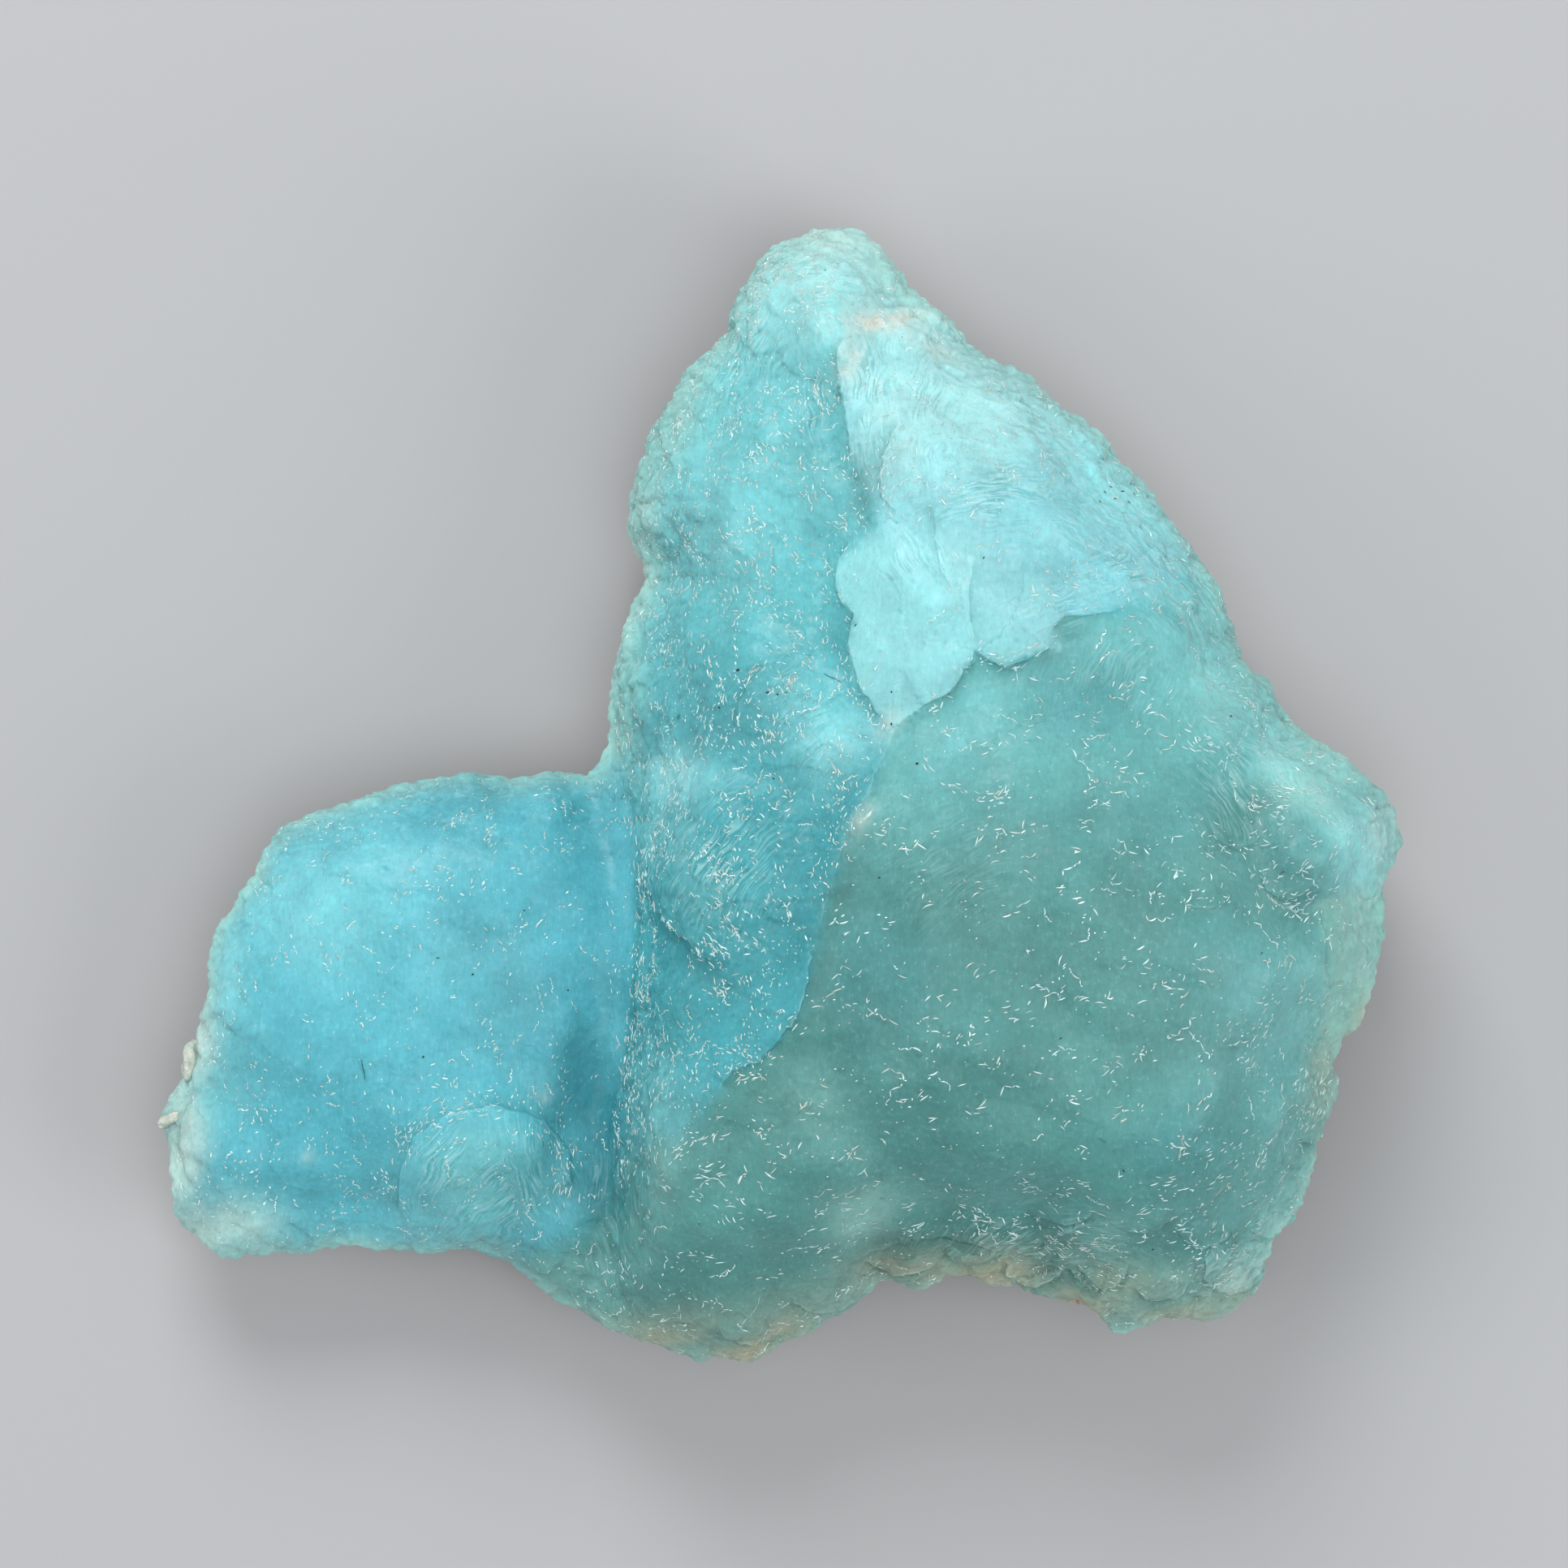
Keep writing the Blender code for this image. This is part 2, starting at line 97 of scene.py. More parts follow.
# The distance over which an edge begins and ends, and how far from it its gap is worked out
EDGE_TAPER = 0.9
EDGE_FIELD = 3.0
ARC_STEPS = 7
# How rough the smooth lobes and the face are, how much is added towards the rim, and from how far in
SMOOTH_PARTS = 0.45
RIM_ROUGHNESS = 1.1
RIM_ROUGH_REACH = 4.0
# Upright shares of the normal between which the rim's sides end, the pull to the outline fades, the
# broken underside gives way to the crust's relief, its colour does the same, and the crust faces up
RIM_SIDES = (0.3, 0.75)
PULLED_SIDES = (0.1, 0.6)
CRUST_BEGINS = (-0.45, 0.0)
UNDER_COLOUR_ENDS = (-0.55, -0.1)
FACES_UP = (-0.3, 0.1)
DETAIL_FACES_UP = (-0.1, 0.2)

# The stone's outline as the camera sees it
OUTLINE = [
    (2.6, 27.9), (4.0, 27.7), (5.2, 26.7), (6.4, 25.0), (7.6, 24.1), (8.8, 23.0), (9.5, 21.9), (10.9, 21.2),
    (12.1, 20.7), (14.1, 18.9), (15.7, 17.9), (16.7, 16.5), (18.0, 15.3), (19.6, 13.1), (20.4, 12.1),
    (21.5, 10.2), (22.3, 8.1), (22.6, 6.7), (23.2, 5.9), (23.9, 5.7), (24.5, 4.5), (25.2, 3.5), (26.2, 2.6),
    (27.6, 1.8), (29.2, 0.5), (30.1, -0.6), (30.4, -2.4), (30.0, -3.7), (29.6, -4.3), (29.7, -6.4),
    (29.3, -8.9), (28.8, -10.1), (28.5, -11.1), (27.6, -12.0), (27.1, -12.9), (27.4, -14.3), (26.8, -15.9),
    (26.3, -17.6), (26.0, -19.2), (25.5, -20.5), (24.4, -21.5), (23.8, -22.8), (23.6, -24.3), (22.6, -25.1),
    (21.1, -25.9), (20.4, -25.6), (19.0, -25.5), (16.7, -26.3), (16.0, -25.8), (15.2, -25.0), (12.6, -24.4),
    (12.0, -23.9), (10.5, -24.0), (9.3, -23.5), (8.0, -23.8), (6.8, -24.3), (5.2, -23.5), (4.4, -24.3),
    (3.7, -25.1), (2.7, -25.5), (1.6, -26.3), (0.5, -26.6), (-1.2, -27.9), (-2.6, -27.4), (-3.9, -27.7),
    (-5.8, -27.1), (-7.8, -26.4), (-9.4, -25.5), (-10.8, -24.9), (-12.4, -23.5), (-13.8, -22.6),
    (-14.8, -22.2), (-16.8, -22.5), (-18.8, -22.5), (-20.8, -22.1), (-22.3, -22.1), (-23.0, -22.6),
    (-24.6, -22.5), (-27.5, -22.8), (-28.4, -21.8), (-29.6, -21.0), (-29.9, -19.4), (-29.9, -16.8),
    (-30.4, -15.9), (-29.9, -14.9), (-29.2, -14.1), (-29.2, -12.7), (-28.6, -12.1), (-28.2, -10.6),
    (-27.9, -9.2), (-28.0, -8.0), (-27.6, -6.7), (-26.4, -4.9), (-25.6, -3.9), (-25.3, -2.7), (-24.4, -1.7),
    (-22.6, -0.8), (-20.4, -0.1), (-18.4, 0.5), (-16.4, 0.9), (-14.8, 1.1), (-13.2, 0.7), (-10.8, 1.1),
    (-9.0, 0.9), (-8.3, 2.5), (-8.3, 4.8), (-8.0, 6.4), (-7.2, 9.2), (-6.4, 10.7), (-6.8, 11.7),
    (-7.4, 13.1), (-7.3, 14.6), (-6.4, 17.6), (-5.3, 19.3), (-4.4, 21.0), (-2.5, 22.3), (-2.5, 23.5),
    (-1.7, 24.8), (-0.8, 26.3), (0.8, 27.3),
]
# How far from the outline the crust's rim is still drawn to it, in full and at all
OUTLINE_PULL = (0.5, 1.2)

# The ridge round the upper left side of the broad front face, closed off the stone: x, y and how
# softly the colour changes there
FACE_OUTLINE = [
    (34.0, 16.0, 9.0), (24.0, 12.0, 7.0), (19.5, 10.2, 4.5), (17.6, 9.2, 2.5), (16.2, 8.8, 0.8),
    (15.0, 8.6, 0.3), (13.6, 8.5, 0.2), (13.1, 8.0, 0.25), (13.4, 7.0, 0.25), (12.8, 6.9, 0.2),
    (11.8, 6.5, 0.2), (10.8, 6.1, 0.2), (9.9, 6.5, 0.2), (9.4, 6.9, 0.15), (8.9, 5.9, 0.15),
    (8.2, 4.9, 0.15), (6.8, 4.2, 0.15), (5.6, 3.2, 0.2), (4.8, 1.2, 0.3), (4.0, -0.3, 0.5),
    (3.2, -2.2, 0.9), (2.6, -4.0, 1.2), (1.7, -7.2, 0.9), (1.4, -9.0, 0.5), (1.0, -10.4, 0.3),
    (0.2, -11.5, 0.3), (-1.0, -12.8, 0.3), (-2.0, -13.1, 0.4), (-3.0, -14.3, 0.8), (-4.2, -15.4, 2.0),
    (-7.0, -18.0, 3.5), (-12.0, -24.0, 4.0), (-14.0, -34.0, 4.0), (34.0, -34.0, 4.0),
]
# Crisp edges on the crust: how strong, and the run of the edge with the higher, lighter crust on its left
EDGE_RUNS = [
    (0.75, [(-3.0, -14.3), (-2.0, -13.1), (-1.0, -12.8), (0.2, -11.5), (1.0, -10.4), (1.4, -9.0),
            (1.7, -7.0)]),
    (0.25, [(1.7, -7.2), (2.6, -4.0), (3.2, -2.2), (4.0, -0.3)]),
    (0.45, [(4.0, -0.3), (4.8, 1.2), (5.6, 3.2), (6.8, 4.2)]),
    (1.0, [(5.2, 3.4), (5.8, 3.3), (6.8, 4.2), (8.2, 4.9), (8.9, 5.9), (9.4, 6.9), (9.9, 6.5), (10.8, 6.1),
           (11.8, 6.5), (12.8, 6.9), (13.4, 7.0)]),
    (0.7, [(12.9, 7.4), (13.1, 8.0), (13.6, 8.5), (15.0, 8.6), (16.6, 8.9)]),
    (0.9, [(3.6, 12.4), (2.8, 11.2), (2.7, 10.2), (3.0, 9.2), (3.6, 8.6), (3.3, 7.2), (3.8, 5.4), (4.6, 4.0),
           (5.2, 3.4)]),
    (0.6, [(9.4, 6.9), (9.2, 8.4), (9.1, 9.8), (9.4, 11.6)]),
    (0.6, [(7.3, 14.2), (7.5, 12.4), (7.7, 11.0), (8.4, 9.4)]),
    (0.9, [(3.2, 22.2), (2.8, 21.2), (2.9, 20.1), (3.2, 18.3), (3.5, 16.0)]),
    (0.8, [(5.9, 18.2), (5.1, 16.6), (4.8, 15.2), (5.0, 14.2), (5.8, 13.2)]),
    (1.0, [(-6.9, -3.6), (-6.2, -4.8), (-5.6, -5.9), (-4.9, -6.5), (-3.7, -7.5)]),
    (0.35, [(-7.3, 0.6), (-7.0, -1.2), (-6.7, -3.0), (-6.7, -5.0), (-6.8, -8.0), (-7.0, -11.4),
            (-7.5, -13.5), (-8.1, -15.4), (-8.3, -17.8)]),
    (0.7, [(-9.9, -19.6), (-10.2, -17.4), (-11.4, -15.8), (-13.4, -15.0), (-16.0, -15.4), (-17.8, -16.6),
           (-18.5, -18.6), (-18.6, -20.6)]),
    (0.45, [(-0.3, 6.6), (-1.4, 5.4), (-1.9, 4.2), (-1.9, 2.8)]),
    (0.7, [(3.4, -22.8), (5.6, -21.7), (8.0, -21.3), (10.6, -22.0)]),
    (0.4, [(12.4, -21.8), (14.4, -20.7), (16.8, -20.5), (18.8, -21.2)]),
    (0.4, [(26.6, -10.0), (26.2, -7.4), (25.9, -5.0)]),
    (0.5, [(21.2, -25.2), (21.0, -23.6), (22.0, -22.2), (24.0, -22.0)]),
    (0.5, [(11.0, -23.8), (12.4, -22.8), (14.4, -22.8), (16.0, -24.2)]),
    (0.35, [(23.0, 4.6), (22.2, 2.6), (22.6, 0.8), (24.2, -0.4)]),
]
# Rounded overlapping lumps, highest along their outer edge: middle, half sizes, first and last angle of
# the edge in degrees, strength
EDGE_ARCS = [
    (12.4, -22.2, 1.5, 1.8, 185, 350, 1.3), (15.5, -22.0, 1.5, 2.0, 190, 350, 1.3),
    (18.6, -23.0, 1.6, 1.6, 200, 350, 1.2), (22.2, -22.9, 1.7, 1.5, 130, 360, 0.8),
    (9.4, -21.4, 1.5, 1.4, 190, 350, 1.2), (6.0, -22.2, 1.8, 1.2, 190, 345, 1.3),
    (13.6, -19.4, 1.7, 1.2, 190, 345, 0.8), (17.3, -19.6, 1.8, 1.4, 190, 350, 0.7),
    (20.6, -20.4, 1.6, 1.4, 190, 350, 0.7), (24.0, -20.0, 1.4, 1.6, 200, 360, 0.8),
    (2.4, -24.0, 1.8, 1.3, 190, 345, 0.8), (-1.2, -25.4, 1.8, 1.4, 180, 345, 0.8),
    (-5.0, -24.4, 2.0, 1.3, 190, 335, 0.5), (24.4, -3.6, 1.4, 1.4, 160, 340, 0.6),
    (22.0, -1.4, 1.3, 1.1, 180, 345, 0.6), (20.2, -4.4, 1.4, 1.0, 190, 345, 0.4),
    (26.0, -15.2, 1.3, 1.8, 225, 385, 1.1), (25.6, -18.4, 1.2, 1.6, 220, 380, 0.5),
    (-5.2, 13.8, 1.5, 2.4, 95, 265, 0.6), (-4.4, 17.8, 1.4, 2.0, 110, 265, 0.6),
    (-0.6, 23.6, 1.6, 2.2, 100, 250, 0.5), (2.6, 25.4, 2.0, 1.6, 20, 170, 0.4),
    (6.2, 22.8, 2.2, 1.0, 10, 150, 0.4), (-6.2, 4.0, 1.4, 2.6, 110, 255, 0.4),
    (-28.0, -17.0, 1.4, 2.4, 100, 260, 0.5), (-22.6, -17.8, 2.2, 1.6, 120, 300, 0.25),
    (28.0, -2.0, 1.6, 2.0, 290, 430, 0.5), (16.6, 13.2, 2.2, 1.8, 100, 290, 0.3),
    (14.0, 17.2, 1.6, 1.4, 60, 250, 0.25), (19.0, 10.6, 1.8, 1.6, 90, 280, 0.3),
]
# Pale smooth lobes with a crisp lower edge, the bright area above them, and a lobe within it
BRIGHT_OUTLINE = [
    (2.8, 11.2, 0.6), (2.7, 10.2, 0.2), (3.0, 9.2, 0.15), (3.6, 8.6, 0.15), (3.3, 7.2, 0.15),
    (3.8, 5.4, 0.2), (4.6, 4.0, 0.4), (5.6, 3.2, 0.2), (6.8, 4.2, 0.15), (8.2, 4.9, 0.15), (8.9, 5.9, 0.15),
    (9.4, 6.9, 0.15), (9.9, 6.5, 0.2), (10.8, 6.1, 0.2), (11.8, 6.5, 0.2), (12.8, 6.9, 0.2),
    (13.4, 7.0, 0.3), (13.1, 8.0, 0.6), (12.4, 11.5, 2.5), (8.0, 12.8, 2.0), (5.0, 12.6, 1.5),
]
UPPER_OUTLINE = [
    (3.3, 22.5, 1.0), (2.8, 21.4, 0.4), (2.9, 20.1, 0.25), (3.2, 18.3, 0.25), (3.5, 16.3, 0.3),
    (4.2, 14.6, 0.5), (5.0, 12.6, 0.8), (6.0, 10.0, 2.0), (12.5, 7.0, 0.5), (13.4, 8.2, 0.3),
    (16.2, 8.8, 1.0), (20.0, 10.0, 4.0), (34.0, 14.0, 6.0), (20.0, 30.0, 3.0), (5.0, 32.0, 2.0),
]
LOBE_OUTLINE = [
    (7.4, 13.8, 0.4), (7.5, 12.4, 0.15), (7.7, 11.0, 0.15), (8.2, 9.8, 0.2), (8.9, 8.6, 0.6),
    (12.0, 8.0, 1.0), (15.0, 9.2, 2.0), (14.0, 13.0, 2.5), (10.0, 14.5, 1.5),
]
# The low lobe at the left of the groove
LEFT_OUTLINE = [
    (-7.4, 0.6, 0.5), (-6.9, -2.0, 0.3), (-6.9, -6.0, 0.25), (-7.1, -10.0, 0.3), (-7.7, -13.6, 0.5),
    (-8.2, -17.0, 0.9), (-9.0, -20.0, 2.0), (-11.0, -24.5, 2.5), (-34.0, -26.0, 2.0), (-34.0, 4.0, 2.0),
    (-9.0, 4.0, 0.8),
]
# A pale green patch on the right-hand rim
RIM_PATCH_OUTLINE = [
    (25.9, -5.2, 0.4), (26.0, -6.6, 0.6), (26.7, -8.0, 0.6), (26.4, -9.6, 1.0), (26.6, -13.0, 1.5),
    (34.0, -14.0, 1.0), (34.0, -3.6, 1.5), (27.8, -4.6, 1.2),
]
# The bottom of the groove, and the width over which painted shade darkens it
GROOVE = [(-8.5, -15.2), (-8.7, -17.6), (-8.6, -19.6)]
GROOVE_WIDTH = 1.3

# Soft spots on the crust: x, y, half length, half width, turn in degrees, strength
# Light spots: pale patches, partly painted light on slopes that turn away from the lamps
LIGHT_SPOTS = [
    (2.6, 2.2, 2.2, 1.8, 20, 0.75), (0.6, 4.4, 1.8, 1.8, 0, 0.3), (-4.6, 1.0, 1.8, 1.6, 0, 0.7),
    (-5.4, -1.8, 1.2, 1.6, 0, 0.35), (-21.8, -5.0, 5.0, 4.0, 20, 0.34), (-16.0, -3.4, 4.0, 2.4, 0, 0.15),
    (-15.8, -20.0, 3.0, 2.4, 0, 0.4), (16.2, 16.6, 2.2, 1.6, -40, 0.85), (25.4, 1.0, 3.4, 1.9, -35, 0.45),
    (-5.8, -14.6, 1.4, 2.4, 0, 0.3), (1.0, 22.5, 3.0, 2.5, 0, 0.4), (-27.0, -8.4, 1.6, 3.0, 0, 0.35),
    (8.6, 2.4, 1.8, 1.6, 20, 0.25), (-2.6, 13.4, 2.4, 3.0, 0, 0.4), (-15.6, -8.0, 3.4, 3.0, 0, 0.15),
    (17.4, 14.8, 3.6, 2.6, -45, 1.0), (28.2, -2.0, 2.4, 2.8, 0, 0.6), (19.8, 7.4, 2.4, 2.0, 0, 0.25),
    (22.0, -10.4, 3.6, 3.0, 0, 0.2),
]
PALE_SPOTS = [
    (-5.4, 18.4, 1.5, 3.8, -25, 0.7), (-6.8, 13.0, 1.1, 4.0, 0, 0.55), (5.6, 25.4, 1.2, 2.2, 45, 0.5),
    (1.6, 27.2, 3.2, 1.1, 0, 0.5), (-29.4, -17.2, 1.2, 3.0, 0, 0.9), (-27.0, -21.0, 2.6, 1.7, 0, 0.6),
    (4.0, -20.2, 1.8, 2.2, -20, 0.42), (-7.5, 4.8, 1.1, 4.6, 0, 0.45), (24.6, -21.4, 1.6, 3.0, 0, 0.3),
    (20.6, -24.2, 2.4, 1.3, 0, 0.4), (1.6, -14.8, 2.2, 1.8, 0, 0.32), (-10.4, -23.4, 2.0, 0.9, 0, 0.4),
    (-3.6, -4.8, 1.8, 2.4, 0, 0.1), (22.6, 4.2, 2.6, 2.0, 0, 0.25), (21.0, -3.2, 1.8, 1.2, 0, 0.15),
    (-5.8, -16.4, 1.3, 2.6, 0, 0.35), (26.8, -7.0, 2.0, 3.0, 0, 0.2), (15.0, -24.6, 2.0, 0.8, 0, 0.55),
    (25.8, 0.6, 3.0, 2.2, -35, 0.4), (23.8, -4.8, 1.2, 0.8, 0, 0.3), (15.6, -20.8, 1.6, 0.9, 0, 0.25),
    (24.8, -16.8, 1.2, 2.2, 0, 0.15),
]
DARK_SPOTS = [
    (14.6, 4.8, 2.6, 2.0, 0, 0.65), (8.6, 0.6, 2.4, 2.0, 0, 0.15), (4.4, -9.0, 3.2, 3.6, 0, 0.35),
    (3.9, 15.2, 0.6, 1.8, 12, 0.5), (1.8, 17.6, 1.2, 1.4, -30, 0.45), (-20.4, -16.8, 3.2, 2.0, 0, 0.12),
    (-11.0, -19.6, 1.8, 2.6, 0, 0.2), (-7.8, -8.6, 1.1, 3.4, 0, 0.3), (13.0, 15.6, 1.6, 1.2, 10, 0.25),
    (-4.4, -7.6, 2.0, 0.9, -38, 0.45), (13.6, 14.0, 2.2, 1.0, 10, 0.2), (12.4, 20.0, 1.6, 0.7, -35, 0.25),
    (11.5, 10.2, 2.6, 2.6, 0, 0.5), (19.4, -16.6, 2.6, 1.6, 0, 0.4), (7.6, -12.8, 2.6, 1.6, 0, 0.2),
    (8.2, 12.8, 1.6, 1.2, 0, 0.2), (-3.0, 5.0, 1.8, 1.8, 0, 0.2), (20.4, 1.0, 1.0, 2.2, -30, 0.2),
    (-4.6, -11.0, 2.2, 2.0, 0, 0.15),
]
# Grey spots: painted shade in dents and painted shadow under the overhanging bottom edges
GREY_SPOTS = [
    (22.4, -1.2, 1.8, 1.4, 0, 0.5), (24.0, -3.8, 1.4, 1.0, 0, 0.15), (7.4, -21.9, 3.6, 1.0, 4, 0.85),
    (4.0, 14.8, 0.6, 1.8, 12, 0.4), (7.6, -13.0, 2.6, 1.2, 0, 0.2), (20.4, -4.6, 2.4, 1.0, 0, 0.2),
    (-3.0, -24.0, 3.4, 1.6, 15, 0.3), (12.0, -22.2, 1.6, 0.6, -20, 0.4),
]
CREAM_SPOTS = [
    (4.9, 22.9, 2.2, 0.6, 12, 0.7), (3.6, 21.0, 0.7, 1.3, -10, 0.5), (7.2, 22.0, 1.6, 0.5, -30, 0.35),
    (5.2, 3.3, 0.5, 0.9, -30, 0.35), (3.9, -1.1, 0.4, 0.9, -30, 0.35), (-23.0, -17.6, 0.4, 0.35, 0, 0.2),
    (-11.4, -14.6, 0.5, 0.4, 0, 0.2),
]
MILKY_SPOTS = [
    (-29.2, -17.0, 1.1, 2.8, 0, 0.85), (-27.4, -21.0, 2.4, 1.2, 0, 0.55), (-28.5, -12.6, 1.0, 1.8, 0, 0.75),
    (5.4, 17.2, 1.6, 2.4, 0, 0.25), (27.9, -7.2, 1.0, 2.4, 0, 0.2), (3.0, 27.2, 2.6, 0.9, 0, 0.4),
    (22.4, -23.2, 1.6, 1.2, 0, 0.25), (29.4, -1.4, 0.9, 2.0, 0, 0.4), (-6.6, 13.4, 0.8, 2.6, 0, 0.2),
]
GREEN_SPOTS = [
    (-13.8, -18.8, 3.6, 3.0, 0, 0.55), (-27.4, -14.0, 1.6, 2.4, 0, 0.4), (-9.8, -22.4, 2.0, 1.6, 0, 0.4),
]
MOSS_SPOTS = [
    (15.4, -23.8, 4.4, 1.5, 0, 0.8), (9.4, -23.0, 4.0, 1.3, 0, 0.7), (2.0, -25.0, 3.4, 1.4, 10, 0.7),
    (-5.0, -26.2, 4.4, 1.3, 10, 0.7), (20.0, -24.8, 3.4, 1.2, 0, 0.6), (26.6, -14.2, 1.0, 2.4, 0, 0.7),
]
BEIGE_SPOTS = [
    (14.6, -24.7, 1.6, 0.8, -10, 0.9), (-1.6, -27.2, 1.8, 0.8, 20, 0.9), (19.6, -25.4, 1.8, 0.5, 0, 0.8),
    (10.8, -23.2, 2.2, 1.1, 0, 0.75), (5.6, -23.0, 2.6, 1.0, 0, 0.5), (0.2, -26.0, 1.4, 0.9, 0, 0.7),
    (28.6, -11.4, 0.9, 1.6, 0, 0.45), (22.6, -24.6, 1.2, 0.8, 0, 0.3), (-5.6, -26.6, 2.4, 0.5, 15, 0.4),
]
# Patches combed with fine lines: as above, then the direction of the lines and how they curve
COMB_SPOTS = [
    (-3.0, -3.2, 2.6, 3.2, -30, 1.0, 56, 0.05), (10.2, 14.4, 3.0, 1.6, 0, 1.0, 8, 0.06),
    (14.6, 13.0, 2.0, 1.6, 0, 0.7, -35, 0.05), (18.2, 12.6, 2.4, 2.2, -40, 0.7, -42, 0.03),
    (22.4, 0.6, 2.4, 2.6, 0, 0.9, -55, 0.07), (-12.0, -18.6, 2.4, 3.0, 0, 0.9, 108, 0.05),
    (-16.4, -18.2, 2.0, 2.4, 0, 0.8, 60, 0.10), (22.4, -23.4, 3.0, 1.6, 0, 0.9, 48, 0.10),
    (4.4, 19.0, 1.5, 3.2, 0, 1.0, 96, 0.03), (7.2, 18.6, 1.6, 3.0, 0, 0.8, 74, 0.04),
    (-1.6, 21.0, 2.0, 3.0, -20, 0.8, 68, 0.05), (0.6, 25.2, 2.6, 2.0, 0, 0.7, 24, 0.10),
    (1.0, 3.6, 2.8, 2.8, 0, 0.5, 40, 0.08), (12.0, -21.6, 5.0, 2.0, 0, 0.7, 20, 0.08),
    (8.0, -3.0, 3.4, 3.0, 0, 0.3, 30, 0.04), (16.4, 5.6, 3.4, 2.6, 0, 0.4, 62, 0.05),
    (-8.4, -20.4, 2.0, 3.0, 0, 0.6, 96, 0.03), (13.6, 8.8, 2.0, 1.0, 0, 0.8, 18, 0.05),
    (19.6, 9.4, 2.2, 2.4, 0, 0.7, -50, 0.04), (16.4, 10.6, 2.0, 1.4, 0, 0.8, 22, 0.05),
    (6.2, 11.4, 2.0, 1.6, 0, 0.6, -58, 0.05), (11.4, 18.4, 2.4, 1.2, -35, 0.7, -34, 0.03),
    (2.0, 18.6, 1.0, 2.8, 0, 0.8, 98, 0.03), (-14.0, -19.4, 3.0, 2.4, 0, 0.9, 38, 0.05),
    (3.4, 25.6, 2.4, 1.6, 0, 0.6, -20, 0.08),
]
# Where the crust is crumpled, and where the edges of shells show
CRUMPLE_SPOTS = [
    (11.0, -22.4, 8.0, 2.4, 0, 1.0), (21.0, -22.6, 4.0, 3.0, 0, 0.8), (-2.0, -25.0, 5.0, 2.0, 12, 0.6),
    (25.4, -17.0, 2.0, 5.0, -8, 0.5), (22.6, -2.6, 2.4, 3.0, 0, 0.5), (-28.4, -16.6, 2.0, 3.4, 0, 0.5),
]
SHELL_SPOTS = [
    (-5.6, 15.0, 2.6, 6.6, -8, 1.0), (-0.6, 24.6, 3.0, 3.4, -30, 0.7), (27.6, -8.6, 2.4, 4.6, 0, 0.8),
    (25.0, -17.0, 2.6, 4.0, -10, 0.6), (16.0, -23.0, 7.0, 2.4, 0, 1.0), (-7.2, 4.0, 1.6, 4.0, 0, 0.5),
    (20.0, 13.0, 2.0, 3.0, 40, 0.5),
]

# How the broad colours change: the heights between which the column lightens, the bright summit of the
# upper area, the share of the lobe within it, and the lines above and beside which the face lightens.
# Lightening upward and to the right, up to the knob, is partly own colour and partly painted light
COLUMN_LIGHTENS = (-2.0, 17.0)
SUMMIT_SPOT = [(9.0, 18.6, 6.5, 4.5, 0, 1.0)]
LOBE_SHARE = 0.35
FACE_UP = (0.9, -7.0, 8.0)
FACE_RIGHT = (0.3, 16.0, 26.0)
BRIGHT_SHARE = 0.6
KNOB_LINE = (19.5, 26.0)
KNOB_SLOPE = 0.25
KNOB_SHARE = 0.75
# Uneven colour: the size and octaves of each noise, and how strongly it works
WAVER = (2.4, 3)
MOTTLE = (4.5, 5)
PATCHY = 0.8
PATCHY_RANGE = (0.5, 1.5)
MOTTLE_SHADE = 0.16
FINE_MOTTLE = (0.9, 3)
FINE_MOTTLE_SHADE = 0.08
CREAM_MOTTLE = (0.8, 3)
CREAM_UNEVEN = 1.2
# Strength and reach of the tones along the rim, the pale band partly the rim's own colour and partly a
# painted glow of light through the thin rim, the strength of other patches, and how deep between two
# crumpled lumps the painted shade of a crease begins and is darkest
RIM_GREEN_BAND = (0.5, 0.9)
RIM_PALE_BAND = (0.45, 0.35)
RIM_PATCH_SHARE = 0.6
DEEP_SHARE = 0.6
CREASE_DEPTH = (0.05, 0.35)
# The underside: size and octaves of its rust and its traces of blue, and where in the noise they show
RUST_MOTTLE = (3.4, 5)
RUST_RANGE = (0.0, 0.4)
UNDER_BLUE_MOTTLE = (5.5, 4)
UNDER_BLUE_RANGE = (0.0, 0.3)
UNDER_BLUE_SHIFT = 40.0

# Crust colours, linear
BLUE = (0.125, 0.515, 0.605)
COLUMN_BLUE = (0.080, 0.405, 0.455)
COLUMN_HIGH = (0.195, 0.625, 0.66)
UPPER = (0.275, 0.67, 0.73)
BRIGHT = (0.45, 0.87, 0.88)
KNOB = (0.50, 0.88, 0.86)
MILKY = (0.70, 0.90, 0.84)
TEAL = (0.115, 0.34, 0.325)
FACE_LIGHT = (0.21, 0.58, 0.585)
CYAN_LIGHT = (0.33, 0.79, 0.82)
PALE = (0.40, 0.72, 0.65)
RIM_GREEN = (0.30, 0.55, 0.51)
PALE_GREEN = (0.33, 0.66, 0.58)
MOSS = (0.36, 0.50, 0.40)
DEEP = (0.01, 0.21, 0.265)
GREY_SHADE = (0.08, 0.20, 0.17)
CREAM = (0.80, 0.84, 0.75)
RIM_BEIGE = (0.50, 0.47, 0.33)
STONE_BEIGE = (0.42, 0.38, 0.25)
RUST = (0.40, 0.24, 0.12)
CHALK = (0.74, 0.80, 0.70)
# GLINT_WHITE is painted highlight: the white of glints, flecks, combed crests and light lines along edges
GLINT_WHITE = (0.72, 1.0, 1.0)
CHALK_SHADE = (0.52, 0.62, 0.54)
DUST_BLUE = (0.012, 0.035, 0.04)
DUST_OLIVE = (0.05, 0.06, 0.03)
FLOOR_GREY = (0.50, 0.51, 0.52)

